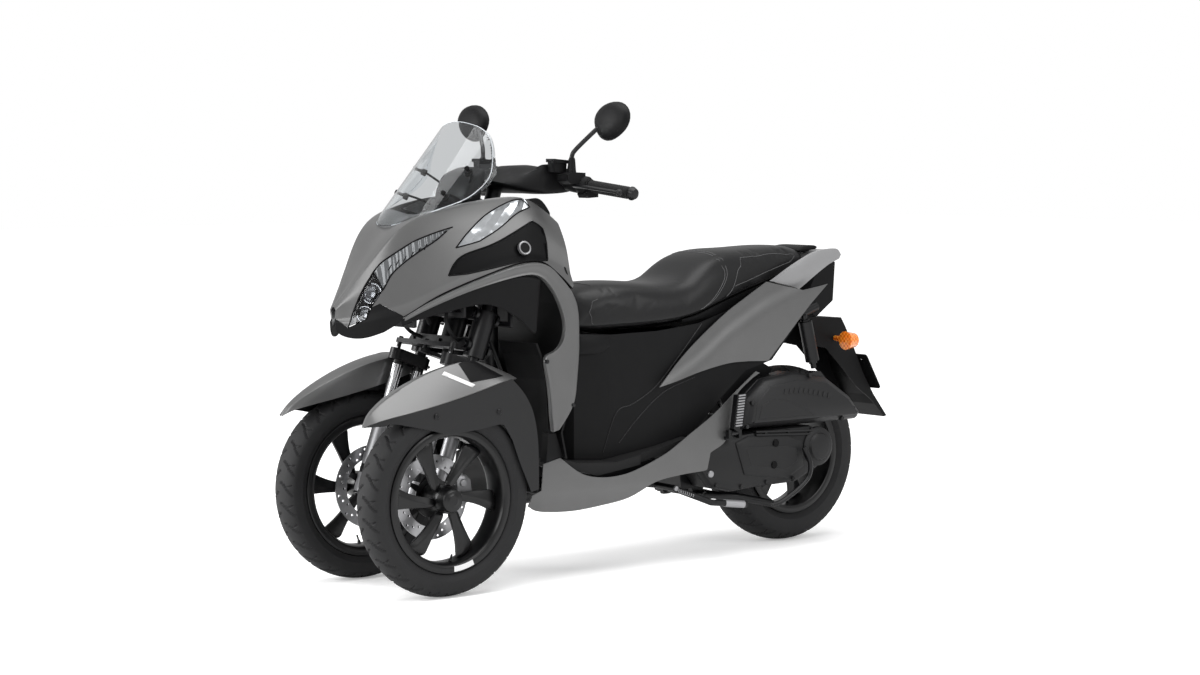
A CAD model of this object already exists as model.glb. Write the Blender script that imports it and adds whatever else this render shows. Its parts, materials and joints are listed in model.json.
# %% [markdown]
# # A leaning scooter with two front wheels
# The construction comes packed, as fixed pieces in metres: +X is forward, +Y is the rider's left and the
# floor is at z = 0. This lesson adds what the construction leaves out: tread, stitching, lenses, springs,
# cables, small fasteners and the finish of every surface.

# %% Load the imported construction
import json
import math
from collections import namedtuple

import bmesh
import bpy
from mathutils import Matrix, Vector
from mathutils.bvhtree import BVHTree


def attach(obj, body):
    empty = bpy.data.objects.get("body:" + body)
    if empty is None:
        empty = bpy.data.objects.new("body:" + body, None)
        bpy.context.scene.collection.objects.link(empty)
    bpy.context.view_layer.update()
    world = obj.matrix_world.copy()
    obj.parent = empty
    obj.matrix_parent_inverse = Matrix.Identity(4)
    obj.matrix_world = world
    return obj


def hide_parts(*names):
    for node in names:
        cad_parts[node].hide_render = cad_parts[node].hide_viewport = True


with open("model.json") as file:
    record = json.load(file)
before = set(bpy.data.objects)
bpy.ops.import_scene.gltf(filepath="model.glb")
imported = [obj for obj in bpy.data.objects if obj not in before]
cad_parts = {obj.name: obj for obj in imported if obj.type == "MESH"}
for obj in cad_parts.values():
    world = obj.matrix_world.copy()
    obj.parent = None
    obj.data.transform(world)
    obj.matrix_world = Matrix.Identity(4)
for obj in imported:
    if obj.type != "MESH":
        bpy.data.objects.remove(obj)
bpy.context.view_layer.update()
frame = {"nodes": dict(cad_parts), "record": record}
nodes = frame["nodes"]
MM = 0.001
SIDES = (("left", 1), ("right", -1))

# %% [markdown]
# ## The camera
# A long lens far away keeps a vehicle's proportions calm, so the camera stands about seven metres off and
# looks slightly down on the left front corner. It is made before anything else, since every choice of
# detail depends on it.

# %% Camera
CAMERA_PLACE = Vector((4.5293, 5.5112, 1.1283))
CAMERA_YAW, CAMERA_PITCH = -2.2511, -0.0711
CAMERA_LENS = 77.12


def make_camera():
    """Camera looking along its yaw and pitch, both in radians."""
    lens = bpy.data.cameras.new("studio_camera")
    lens.lens = CAMERA_LENS
    lens.clip_end = 60
    camera = bpy.data.objects.new("studio_camera", lens)
    bpy.context.scene.collection.objects.link(camera)
    flat = math.cos(CAMERA_PITCH)
    look = Vector((flat * math.cos(CAMERA_YAW), flat * math.sin(CAMERA_YAW), math.sin(CAMERA_PITCH)))
    camera.location = CAMERA_PLACE
    camera.rotation_euler = look.to_track_quat("-Z", "Y").to_euler()
    bpy.context.scene.camera = camera


make_camera()

# %% [markdown]
# ## Colours and nodes
# Paint makers and screens speak in sRGB, while a shader computes in linear light. One function turns a
# hex value into linear light, and one adds a node with its settings and links. Every material below is
# built with these two.

# %% Colour and node helpers
def linear(hex_colour, alpha=1.0):
    """Linear RGBA of an sRGB hex colour."""
    shades = [int(hex_colour[i:i + 2], 16) / 255 for i in (1, 3, 5)]
    return (*[s / 12.92 if s <= 0.04045 else ((s + 0.055) / 1.055) ** 2.4 for s in shades], alpha)


def add_node(tree, kind, inputs, **settings):
    """A node with its settings; an input is a value or another node's output socket."""
    made = tree.nodes.new(kind)
    for name, value in settings.items():
        setattr(made, name, value)
    for socket, value in inputs.items():
        if isinstance(value, bpy.types.NodeSocket):
            tree.links.new(value, made.inputs[socket])
        else:
            made.inputs[socket].default_value = value
    return made


def new_material(name, colour, roughness, **sockets):
    """Principled material: its tree and shader come back with it, for the patterns."""
    made = bpy.data.materials.new(name)
    made.use_nodes = True
    tree = made.node_tree
    shader = tree.nodes["Principled BSDF"]
    shader.inputs["Base Color"].default_value = linear(colour)
    shader.inputs["Roughness"].default_value = roughness
    for socket, value in sockets.items():
        shader.inputs[socket.replace("_", " ")].default_value = value
    return made, tree, shader


def add_grain(tree, shader, grain_mm, depth_mm, strength=1.0, kind="ShaderNodeTexNoise", **inputs):
    """Bump from a noise whose grains are grain_mm across and depth_mm deep; gives the noise back."""
    place = add_node(tree, "ShaderNodeTexCoord", {})
    noise = add_node(tree, kind, {"Vector": place.outputs["Object"], "Scale": 1 / (grain_mm * MM), **inputs})
    height = noise.outputs["Fac"] if "Fac" in noise.outputs else noise.outputs["Distance"]
    bump = add_node(tree, "ShaderNodeBump",
                    {"Height": height, "Strength": strength, "Distance": depth_mm * MM})
    tree.links.new(bump.outputs["Normal"], shader.inputs["Normal"])
    return noise


def vary_colour(tree, shader, dark, light, patch_mm):
    """Slow drift of the base colour between two shades, in patches of patch_mm."""
    place = add_node(tree, "ShaderNodeTexCoord", {})
    noise = add_node(tree, "ShaderNodeTexNoise",
                     {"Vector": place.outputs["Object"], "Scale": 1 / (patch_mm * MM), "Detail": 4.0})
    mix = add_node(tree, "ShaderNodeMix", {0: noise.outputs["Fac"], 6: linear(dark), 7: linear(light)},
                   data_type="RGBA")
    tree.links.new(mix.outputs[2], shader.inputs["Base Color"])


def vary_roughness(tree, shader, noise, low, high):
    """Roughness that follows a noise between two values."""
    spread = add_node(tree, "ShaderNodeMapRange",
                      {"Value": noise.outputs["Fac"], "To Min": low, "To Max": high})
    tree.links.new(spread.outputs["Result"], shader.inputs["Roughness"])


# %% [markdown]
# ## Finishes
# A scooter has few materials, used many times: satin paint over ABS, grained ABS left in its moulded
# colour, polycarbonate lenses, painted steel, cast and machined aluminium, rubber and vinyl. Each gets a
# material that carries what the eye expects from how it was made.

# %% Painted and moulded plastics
def satin_grey_paint():
    """Satin metallic paint on ABS panels: fine flake under a dull clear coat."""
    made, tree, shader = new_material("satin_grey_paint", "#595959", 0.36, Metallic=0.5, Coat_Weight=0.3,
                                      Coat_Roughness=0.22)
    noise = add_grain(tree, shader, 1.6, 0.02, 0.25, Detail=2.0)
    vary_colour(tree, shader, "#575757", "#5E5E5E", 60)
    vary_roughness(tree, shader, noise, 0.32, 0.4)
    return made


def satin_light_grey_paint():
    """The grab rail's lighter satin paint on cast aluminium."""
    made, tree, shader = new_material("satin_light_grey_paint", "#8C8C8D", 0.38, Metallic=0.35)
    noise = add_grain(tree, shader, 1.6, 0.02, 0.25, Detail=2.0)
    vary_roughness(tree, shader, noise, 0.35, 0.45)
    return made


def grained_black_abs():
    """Black ABS with the leather grain of its mould, drawn twice as coarse as the real 0.8 mm to show."""
    made, tree, shader = new_material("grained_black_abs", "#0B0B0C", 0.5, Specular_IOR_Level=0.14)
    noise = add_grain(tree, shader, 1.6, 0.08, 0.5, Detail=4.0)
    vary_colour(tree, shader, "#09090A", "#0F0F10", 40)
    vary_roughness(tree, shader, noise, 0.45, 0.6)
    return made


# %% [markdown]
# Lamp lenses are polycarbonate, clear or dyed, with ribs or prisms moulded on the inside. Their relief is
# drawn as a bump with the pitch of the real ribs, because light breaks on it long before its outline
# shows.

# %% Lenses
def smoked_lens():
    """Faintly smoked polycarbonate over the headlamps, so thin that it hardly bends the light."""
    return new_material("smoked_lens", "#B4B6B8", 0.06, IOR=1.06, Transmission_Weight=1.0, Coat_Weight=0.6)[0]


def clear_lens():
    """Clear polycarbonate of the position lamps and side lamps, bright from its chrome backing."""
    made, tree, shader = new_material("clear_lens", "#A4A7AA", 0.16, IOR=1.5, Metallic=0.7, Coat_Weight=0.4)
    place = add_node(tree, "ShaderNodeTexCoord", {})
    slats = add_node(tree, "ShaderNodeTexWave",
                     {"Vector": place.outputs["Object"], "Scale": 1 / (75 * MM), "Distortion": 2.5},
                     bands_direction="DIAGONAL", wave_profile="TRI")
    bump = add_node(tree, "ShaderNodeBump",
                    {"Height": slats.outputs["Fac"], "Strength": 0.9, "Distance": 9 * MM})
    tree.links.new(bump.outputs["Normal"], shader.inputs["Normal"])
    return made


def ribbed_lens():
    """Grey lens of the position lamps, with upright ribs moulded behind it."""
    made, tree, shader = new_material("ribbed_lens", "#5A5C5E", 0.15, Metallic=0.4, Coat_Weight=0.5)
    place = add_node(tree, "ShaderNodeTexCoord", {})
    ribs = add_node(tree, "ShaderNodeTexWave", {"Vector": place.outputs["Object"], "Scale": 1 / (52 * MM)},
                    bands_direction="X")
    bump = add_node(tree, "ShaderNodeBump",
                    {"Height": ribs.outputs["Fac"], "Strength": 0.8, "Distance": 3 * MM})
    tree.links.new(bump.outputs["Normal"], shader.inputs["Normal"])
    return made


def clear_screen():
    """Clear hard-coated acrylic of the windscreen."""
    made, tree, shader = new_material("clear_screen", "#F4F7F9", 0.02, IOR=1.3, Transmission_Weight=1.0)
    add_grain(tree, shader, 200, 0.05, 0.1)
    return made


def amber_lens():
    """Amber polycarbonate of the indicators, with the small prisms inside it."""
    made, tree, shader = new_material("amber_lens", "#E8801C", 0.15, IOR=1.58, Coat_Weight=0.8,
                                      Subsurface_Weight=0.3)
    place = add_node(tree, "ShaderNodeTexCoord", {})
    prisms = add_node(tree, "ShaderNodeTexChecker",
                      {"Vector": place.outputs["Object"], "Scale": 1 / (7 * MM),
                       "Color1": linear("#F09030"), "Color2": linear("#D06A10")})
    tree.links.new(prisms.outputs["Color"], shader.inputs["Base Color"])
    return made


def red_lens():
    """Red polycarbonate of the tail lamp."""
    made, tree, shader = new_material("red_lens", "#8E1414", 0.12, IOR=1.58, Coat_Weight=0.8)
    place = add_node(tree, "ShaderNodeTexCoord", {})
    ribs = add_node(tree, "ShaderNodeTexWave", {"Vector": place.outputs["Object"], "Scale": 1 / (40 * MM)},
                    bands_direction="Y")
    bump = add_node(tree, "ShaderNodeBump",
                    {"Height": ribs.outputs["Fac"], "Strength": 0.4, "Distance": 1 * MM})
    tree.links.new(bump.outputs["Normal"], shader.inputs["Normal"])
    return made


def deep_black_abs():
    """Smooth near-black mouldings that lie in the shade of the covers: ducts, lamp housings, bolts."""
    made, tree, shader = new_material("deep_black_abs", "#060607", 0.4, Specular_IOR_Level=0.1)
    add_grain(tree, shader, 2, 0.03, 0.3, Detail=2.0)
    return made


def pale_edge():
    """Frosted cut edge of the screen, which gathers light."""
    return new_material("pale_edge", "#C4C9CE", 0.5)[0]


def blank_label():
    """White printed vinyl of the bare labels and stripes."""
    return new_material("blank_label", "#D8D8D8", 0.5)[0]


def cleaner_black():
    """Talc-filled black moulding of the air cleaner, greyer than the other covers."""
    made, tree, shader = new_material("cleaner_black", "#171718", 0.42, Specular_IOR_Level=0.3)
    noise = add_grain(tree, shader, 1.6, 0.06, 0.4, Detail=3.0)
    vary_roughness(tree, shader, noise, 0.4, 0.54)
    return made


def seam_thread():
    """Grey stitching and welted seams of the seat cover."""
    return new_material("seam_thread", "#4A4A4B", 0.7)[0]


# %% [markdown]
# Metals are of two kinds here: enamel and powder coat over steel or castings, which shine only faintly,
# and bare metal on discs, tubes and small fittings, where the colour is the metal's own and Metallic is
# near one.

# %% Metals
def black_frame_paint():
    """Satin black enamel on steel tubes, with a little orange peel."""
    made, tree, shader = new_material("black_frame_paint", "#08080A", 0.35, Specular_IOR_Level=0.3)
    noise = add_grain(tree, shader, 5, 0.05, 0.3, Detail=2.0)
    vary_roughness(tree, shader, noise, 0.28, 0.42)
    return made


def black_wheel_paint():
    """Satin black powder coat on the cast wheels."""
    made, tree, shader = new_material("black_wheel_paint", "#050506", 0.26, Specular_IOR_Level=0.25,
                                      Coat_Weight=0.2, Coat_Roughness=0.2)
    noise = add_grain(tree, shader, 3, 0.04, 0.3, Detail=2.0)
    vary_roughness(tree, shader, noise, 0.28, 0.4)
    return made


def machined_steel():
    """Ground stainless steel of the brake discs: fine rings left by the grinding."""
    made, tree, shader = new_material("machined_steel", "#A3A3A5", 0.34, Metallic=1.0)
    noise = add_grain(tree, shader, 1.2, 0.02, 0.3)
    vary_roughness(tree, shader, noise, 0.28, 0.42)
    return made


def bright_chrome():
    """Hard chrome of the fork tubes."""
    made, tree, shader = new_material("bright_chrome", "#C8C8CA", 0.08, Metallic=1.0)
    noise = add_grain(tree, shader, 30, 0.01, 0.1)
    vary_roughness(tree, shader, noise, 0.05, 0.12)
    return made


def cast_silver():
    """Bare sand-blasted aluminium castings: brackets, calipers and pegs."""
    made, tree, shader = new_material("cast_silver", "#9A9A9C", 0.45, Metallic=0.9)
    noise = add_grain(tree, shader, 1.8, 0.1, 0.5, Detail=3.0)
    vary_roughness(tree, shader, noise, 0.38, 0.55)
    return made


def painted_casting():
    """Dark satin paint over the engine and drive castings."""
    made, tree, shader = new_material("painted_casting", "#121213", 0.42, Specular_IOR_Level=0.3)
    noise = add_grain(tree, shader, 2.2, 0.15, 0.5, Detail=4.0)
    vary_roughness(tree, shader, noise, 0.4, 0.58)
    return made


def heat_paint():
    """Matte black heat-proof paint of the silencer."""
    made, tree, shader = new_material("heat_paint", "#151515", 0.6)
    noise = add_grain(tree, shader, 1.5, 0.08, 0.5)
    vary_roughness(tree, shader, noise, 0.5, 0.7)
    return made


# %% [markdown]
# Rubber and vinyl are near black and dull. What tells them apart is the size of their grain: fine on
# tyres, ribbed on grips and pebbled on the seat.

# %% Rubber and vinyl
def tyre_rubber():
    """Vulcanised rubber: near black, dull, with a grey bloom on the sidewalls."""
    made, tree, shader = new_material("tyre_rubber", "#1A1A1B", 0.66, Specular_IOR_Level=0.3)
    noise = add_grain(tree, shader, 2.5, 0.08, 0.5, Detail=5.0)
    vary_colour(tree, shader, "#161617", "#1E1E1F", 45)
    vary_roughness(tree, shader, noise, 0.62, 0.8)
    return made


def ribbed_rubber():
    """Soft black rubber of the grips and floor mats, with moulded ribs."""
    made, tree, shader = new_material("ribbed_rubber", "#0C0C0D", 0.6, Specular_IOR_Level=0.3)
    noise = add_grain(tree, shader, 2, 0.1, 0.5)
    vary_roughness(tree, shader, noise, 0.6, 0.8)
    return made


def seat_vinyl():
    """Embossed black vinyl: pebbles about 1.5 mm across, drawn as cells, with a soft sheen."""
    made, tree, shader = new_material("seat_vinyl", "#0C0C0D", 0.42, Specular_IOR_Level=0.28)
    noise = add_grain(tree, shader, 2.2, 0.12, 0.45, kind="ShaderNodeTexVoronoi")
    vary_colour(tree, shader, "#0A0A0B", "#101011", 70)
    return made


PAINTS = {  # by slot of the record, then the finishes that only this script uses
    "grey_panel": satin_grey_paint(),
    "rail_grey": satin_light_grey_paint(),
    "black_plastic": grained_black_abs(),
    "lens_dark": smoked_lens(),
    "lens_clear": clear_lens(),
    "lens_orange": amber_lens(),
    "lens_red": red_lens(),
    "screen": clear_screen(),
    "frame_black": black_frame_paint(),
    "steel": machined_steel(),
    "cast_grey": painted_casting(),
    "tyre": tyre_rubber(),
    "wheel_black": black_wheel_paint(),
    "rubber": ribbed_rubber(),
    "seat": seat_vinyl(),
    "muffler": heat_paint(),
    "chrome": bright_chrome(),
    "cast_silver": cast_silver(),
    "ribbed_lens": ribbed_lens(),
    "deep_black": deep_black_abs(),
    "seam_thread": seam_thread(),
    "cleaner_black": cleaner_black(),
    "pale_edge": pale_edge(),
    "blank_label": blank_label(),
}
print("finishes:", len(PAINTS))

# %% [markdown]
# ## Finishes on the construction
# The record says which finish each piece of the construction has, so a loop hands every node its
# material. Only the few pieces whose finish differs from their slot are named one by one.

# %% Dress the construction
slot_of = {part["node"]: part["material_slot"] for part in frame["record"]["subparts"]}
for name, node in nodes.items():
    for slot in node.material_slots:
        slot.material = PAINTS[slot_of[name]]
for name in ("fork_left", "fork_right", "storage_tub", "engine_block", "peg_left", "peg_right"):
    for slot in nodes[name].material_slots:
        slot.material = PAINTS["frame_black"]
print("construction pieces painted:", len(nodes))

# %% [markdown]
# Each step below ends with a line of print, so that a reader sees how many pieces it made and how fine
# they are.

# %% Count what a step has made
described = set(nodes)


def tell(step):
    """Print the pieces made since the last call and their faces."""
    fresh = [piece for piece in bpy.data.objects if piece.type == "MESH" and piece.name not in described]
    described.update(piece.name for piece in fresh)
    print(f"{step}: {len(fresh)} pieces, {sum(len(piece.data.polygons) for piece in fresh)} faces")


# %% [markdown]
# ## Making shapes
# Most panels are skins: a few cross-sections with a surface drawn through them. `loft` extrudes a chain
# of edges from one section to the next, so rows and columns stay in order and a Subdivision Surface can
# round them. A boolean against a side outline then trims a panel, as a die trims a moulding.

# %% Skins
def loft(bm, rows, closed=True, caps=False, creases=None):
    """Skin through rows of (x, y, z) points in mm; creases gives a column's sharpness from 0 to 1."""
    layer = bm.edges.layers.float.get("crease_edge") or bm.edges.layers.float.new("crease_edge")
    ring = first = [bm.verts.new(Vector(p) * MM) for p in rows[0]]
    pairs = list(zip(ring, ring[1:] + ring[:1])) if closed else list(zip(ring, ring[1:]))
    chain = [bm.edges.new(pair) for pair in pairs]
    for row in rows[1:]:
        made = bmesh.ops.extrude_edge_only(bm, edges=chain)["geom"]
        fresh = {v for v in made if isinstance(v, bmesh.types.BMVert)}
        step = [next(e.other_vert(v) for e in v.link_edges if e.other_vert(v) in fresh) for v in ring]
        for vertex, place in zip(step, row):
            vertex.co = Vector(place) * MM
        for column, sharpness in (creases or {}).items():
            for side in {column, column if not closed else column % len(ring)}:
                bm.edges.get((ring[side], step[side]))[layer] = sharpness
        ends = zip(step, step[1:] + step[:1]) if closed else zip(step, step[1:])
        chain = [bm.edges.get(pair) for pair in ends]
        ring = step
    if caps:
        bm.faces.new(first)
        bm.faces.new(ring)
    return bm


def mirrored(bm):
    """The same shape on both sides of the middle plane."""
    bmesh.ops.mirror(bm, geom=bm.verts[:] + bm.edges[:] + bm.faces[:], axis="Y", merge_dist=0.3 * MM)
    return bm


# %% [markdown]
# A finished shape becomes an object on the body it moves with. Rounding and wall thickness are applied at
# once, so the mesh that is exported is the mesh that is seen, and sharp edges are found by the angle
# between their faces.

# %% Finished pieces
def finish_piece(name, bm, slot, body, replaces=(), levels=0, wall=0.0, sharp=38, paint=None):
    """Object from a bmesh: rounded and given a wall as asked, then dressed."""
    bmesh.ops.recalc_face_normals(bm, faces=bm.faces)
    mesh = bpy.data.meshes.new(name)
    bm.to_mesh(mesh)
    bm.free()
    piece = bpy.data.objects.new(name, mesh)
    bpy.context.scene.collection.objects.link(piece)
    if levels:
        rounding = piece.modifiers.new("rounding", "SUBSURF")
        rounding.levels = rounding.render_levels = levels
    if wall:
        shell = piece.modifiers.new("wall", "SOLIDIFY")
        shell.thickness = wall * MM
        shell.offset = -1
    if levels or wall:
        bake(piece)
    smooth_by_angle(piece, sharp)
    return dress(piece, slot, body, replaces, paint)


def dress(piece, slot, body, replaces=(), paint=None):
    """Paint a piece, put it on its body and name the construction nodes that it stands for."""
    piece.data.materials.clear()
    piece.data.materials.append(PAINTS[paint or slot])
    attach(piece, body)
    if replaces:
        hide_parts(*replaces)
    return piece


def bake(piece):
    """Apply the modifiers, so that the finished mesh is plain."""
    graph = bpy.context.evaluated_depsgraph_get()
    mesh = bpy.data.meshes.new_from_object(piece.evaluated_get(graph))
    piece.modifiers.clear()
    old, piece.data = piece.data, mesh
    bpy.data.meshes.remove(old)


def smooth_by_angle(piece, angle):
    """Smooth shading with edges left sharp where faces meet at more than angle degrees."""
    bm = bmesh.new()
    bm.from_mesh(piece.data)
    for face in bm.faces:
        face.smooth = True
    for edge in bm.edges:
        edge.smooth = len(edge.link_faces) == 2 and edge.calc_face_angle(0) < math.radians(angle)
    bm.to_mesh(piece.data)
    bm.free()


# %% [markdown]
# Flat parts start from their side view: pushed through as a block, or carried out in steps with a
# chamfer. The same blocks serve as dies: a boolean keeps what lies inside an outline, or takes it away.

# %% Blocks and cuts
def prism(bm, outline, low_y, high_y):
    """Side outline of (x, z) points in mm as a closed block between two y values."""
    return loft(bm, [[(x, y, z) for x, z in outline] for y in (low_y, high_y)], caps=True)


def stepped(bm, outline, steps):
    """Side outline carried outward through (y, inset) steps and closed at both ends."""
    rows = [[(x, y, z) for x, z in (inset(outline, amount) if amount else outline)] for y, amount in steps]
    return loft(bm, rows, caps=True)


def boolean(piece, cutter, operation):
    """Keep what piece shares with the cutter bmesh (INTERSECT) or what it leaves (DIFFERENCE)."""
    bmesh.ops.recalc_face_normals(cutter, faces=cutter.faces)
    mesh = bpy.data.meshes.new("cutter")
    cutter.to_mesh(mesh)
    cutter.free()
    tool = bpy.data.objects.new("cutter", mesh)
    bpy.context.scene.collection.objects.link(tool)
    cut = piece.modifiers.new("cut", "BOOLEAN")
    cut.operation, cut.object, cut.solver = operation, tool, "EXACT"
    bake(piece)
    bpy.data.objects.remove(tool)


def inset(points, amount):
    """Closed outline moved inward by amount, corner by corner, whichever way it runs."""
    area = sum(a[0] * b[1] - b[0] * a[1] for a, b in zip(points, points[1:] + points[:1]))
    amount = math.copysign(amount, area) if amount > 0 else -math.copysign(amount, area)
    moved = []
    for i, (bx, by) in enumerate(points):
        ax, ay = points[i - 1]
        cx, cy = points[(i + 1) % len(points)]
        before, after = Vector((bx - ax, by - ay)).normalized(), Vector((cx - bx, cy - by)).normalized()
        across = (Vector((-before.y, before.x)) + Vector((-after.y, after.x))).normalized()
        share = max(0.35, across.dot(Vector((-before.y, before.x))))
        moved.append((bx + across.x * amount / share, by + across.y * amount / share))
    return moved


def copy_piece(piece, name):
    """A second piece with its own mesh."""
    twin = piece.copy()
    twin.data = piece.data.copy()
    twin.name = name
    bpy.context.scene.collection.objects.link(twin)
    return twin


# %% [markdown]
# Long outlines are a few chosen points with a smooth line through them. Round parts are turned from a
# profile, as on a lathe, and hoses and seams are thin tubes along a line.

# %% Lines, turned parts and tubes
def flow(points, steps=5):
    """Open line drawn smoothly through its points, which have two or three coordinates."""
    places = [Vector(p) for p in points]
    places = [places[0] * 2 - places[1]] + places + [places[-1] * 2 - places[-2]]
    line = []
    for a, b, c, d in zip(places, places[1:], places[2:], places[3:]):
        for t in (k / steps for k in range(steps)):
            bend = (2 * a - 5 * b + 4 * c - d) * t ** 2 + (3 * b - a - 3 * c + d) * t ** 3
            line.append(tuple((2 * b + (c - a) * t + bend) / 2))
    return line + [tuple(points[-1])]


def between(table, x):
    """Value at x on the line through a table of (x, value) points; flat beyond its ends."""
    table = sorted(table)
    for (low_x, low), (high_x, high) in zip(table, table[1:]):
        if x <= high_x:
            return low + (high - low) * max(0.0, (x - low_x) / (high_x - low_x))
    return table[-1][1]


def turned(bm, profile, place, axis=(0, 1, 0), steps=48, closed=False):
    """Turn a profile of (radius, along) in mm about an axis through place."""
    axis = Vector(axis).normalized()
    out = axis.orthogonal().normalized()
    place = Vector(place)
    verts = [bm.verts.new((place + out * radius + axis * along) * MM) for radius, along in profile]
    pairs = list(zip(verts, verts[1:])) + ([(verts[-1], verts[0])] if closed else [])
    edges = [bm.edges.new(pair) for pair in pairs]
    old = len(bm.verts) - len(verts)
    bmesh.ops.spin(bm, geom=verts + edges, cent=place * MM, axis=axis, angle=math.tau, steps=steps,
                   use_merge=True)
    bm.verts.ensure_lookup_table()
    bmesh.ops.remove_doubles(bm, verts=bm.verts[old:], dist=0.01 * MM)
    return bm


def tube(name, routes, radius, slot, body, order=3, paint=None):
    """Round hoses or rods along routes of points in mm, joined in one mesh."""
    line = bpy.data.curves.new(name, "CURVE")
    line.dimensions = "3D"
    line.bevel_depth = radius * MM
    line.bevel_resolution = 3
    line.use_fill_caps = True
    for route in routes:
        spline = line.splines.new("NURBS")
        spline.points.add(len(route) - 1)
        for knot, place in zip(spline.points, route):
            knot.co = (*(Vector(place) * MM), 1)
        spline.order_u = min(order, len(route))
        spline.use_endpoint_u = True
        spline.resolution_u = 6
    maker = bpy.data.objects.new("maker", line)
    bpy.context.scene.collection.objects.link(maker)
    graph = bpy.context.evaluated_depsgraph_get()
    bm = bmesh.new()
    bm.from_mesh(bpy.data.meshes.new_from_object(maker.evaluated_get(graph)))
    bpy.data.objects.remove(maker)
    return finish_piece(name, bm, slot, body, paint=paint)


# %% [markdown]
# ## Front body
# The front body is one shell that the moulder splits into covers, lamps and vents. One smooth skin is
# drawn first, then each cover is cut out of it with the shut lines of the construction, so neighbours
# always meet.

# %% Front skin
# Half sections: station x, then (y, z) of the centre, shoulder, crease, ridge and lower edge.
FRONT_SECTIONS = [
    (946, (0, 741), (8, 739), (12, 728), (14, 705), (12, 668)),
    (900, (0, 797), (30, 803), (50, 775), (64, 704), (60, 655)),
    (860, (0, 857), (58, 862), (82, 790), (101, 722), (96, 676)),
    (800, (0, 937), (88, 947), (106, 856), (134, 731), (129, 698)),
    (720, (0, 970), (108, 984), (127, 905), (162, 768), (157, 724)),
    (610, (0, 975), (128, 1008), (150, 920), (189, 813), (185, 730)),
    (500, (0, 976), (141, 1022), (168, 935), (206, 847), (201, 690)),
    (425, (0, 976), (147, 1018), (178, 925), (214, 846), (210, 610)),
    (335, (0, 930), (150, 950), (190, 875), (222, 790), (221, 596)),
]
SKIN_WALL = 3.2
SHUT_LINE = 1.1


def skin_row(station, centre, shoulder, crease, ridge, lower):
    """One half section with the in-between points that round the deck and the flank over the wheel arch."""
    deck = (shoulder[0] * 0.55, (centre[1] + shoulder[1]) / 2 + 3)
    flank = ((shoulder[0] + crease[0]) / 2 + 4, (shoulder[1] + crease[1]) / 2)
    swell = min(1.0, (946 - station) / 230)
    foot = (ridge[0] - 6 - 12 * swell, ridge[1] + 5 + 20 * swell)
    crown = (ridge[0] - 3 - 3 * swell, ridge[1] + 3 * swell)
    side = (ridge[0], ridge[1] - 14 * swell - 3)
    return [(station, y, z) for y, z in (centre, deck, shoulder, flank, crease, foot, crown, side, lower)]


def make_front_skin():
    """The whole front shell, both sides, before it is cut."""
    creases = {2: 0.7, 4: 0.25, 5: 0.5, 7: 0.35}
    bm = loft(bmesh.new(), [skin_row(*row) for row in FRONT_SECTIONS], closed=False, creases=creases)
    return finish_piece("front_skin", mirrored(bm), "grey_panel", "chassis", levels=3, wall=SKIN_WALL)


# %% [markdown]
# Shut lines are side views of the body. Each shared line is drawn once, so the two covers beside it keep
# one gap.

# %% Shut lines of the front covers, as (x, z)
ARCH_RIDGE = flow([(342, 777), (379, 813), (430, 849), (500, 847), (616, 811), (723, 768), (812, 716)])
COWL_BACK = [(665, 942), (665, 1045), (379, 1045), (334, 945), (334, 785)]
LAMP_HIGH = flow([(864, 831), (844, 856), (805, 885), (765, 909), (711, 929), (665, 942)])
LAMP_LOW = flow([(682, 932), (712, 909), (753, 884), (791, 858), (826, 826), (849, 786)])
LAMP_FRONT = flow([(864, 831), (897, 771), (924, 688)])
LAMP_REAR = flow([(889, 711), (874, 755), (849, 786)])
BEAK_TOP = [(924, 688), (889, 711), (876, 740), (858, 750), (812, 716)]
BEAK_LOW = flow([(822, 700), (861, 672), (900, 648), (970, 640)])
VENT = (flow([(690, 818), (672, 848), (640, 872), (553, 900), (433, 956)])
        + flow([(404, 936), (400, 900), (407, 850)])
        + flow([(493, 852), (581, 834), (640, 822)]))
SIDE_LAMP = (flow([(662, 889), (626, 927), (568, 973), (493, 1006), (442, 1013)])
             + flow([(431, 991), (479, 974), (539, 935), (600, 903)]))
LINER = (flow([(820, 706), (723, 753), (616, 792), (500, 816), (440, 806)])
         + flow([(448, 700), (456, 662), (500, 699), (559, 732), (616, 742), (697, 726), (774, 707),
                 (815, 692)]))
WIDE = 300  # a cut through the whole width of the body
SCREEN_WELL = [(700, 102), (607, 124), (518, 137), (457, 142), (330, 145)]


def cover(name, outline, slot, replaces, holes=(), paint=None, shrink=SHUT_LINE / 2):
    """One cover: the skin inside its shut line, less the openings of its neighbours."""
    piece = copy_piece(front_skin, name)
    boolean(piece, prism(bmesh.new(), inset(outline, shrink), -WIDE, WIDE), "INTERSECT")
    for hole in holes:
        boolean(piece, prism(bmesh.new(), inset(hole, -shrink), -WIDE, WIDE), "DIFFERENCE")
    return dress(piece, slot, "chassis", replaces, paint)


def open_well(piece):
    """Cut the dash well behind the screen out of a cover."""
    plan = SCREEN_WELL + [(x, -y) for x, y in SCREEN_WELL[::-1]]
    well = loft(bmesh.new(), [[(x, y, z) for x, y in plan] for z in (905, 1100)], caps=True)
    boolean(piece, well, "DIFFERENCE")


# %% [markdown]
# The nose and the two cowls are one painted moulding here: they meet without a visible gap, so one skin
# stands for both. The lamps, the vents and the beak are cut from the same skin and fill its openings.

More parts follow.
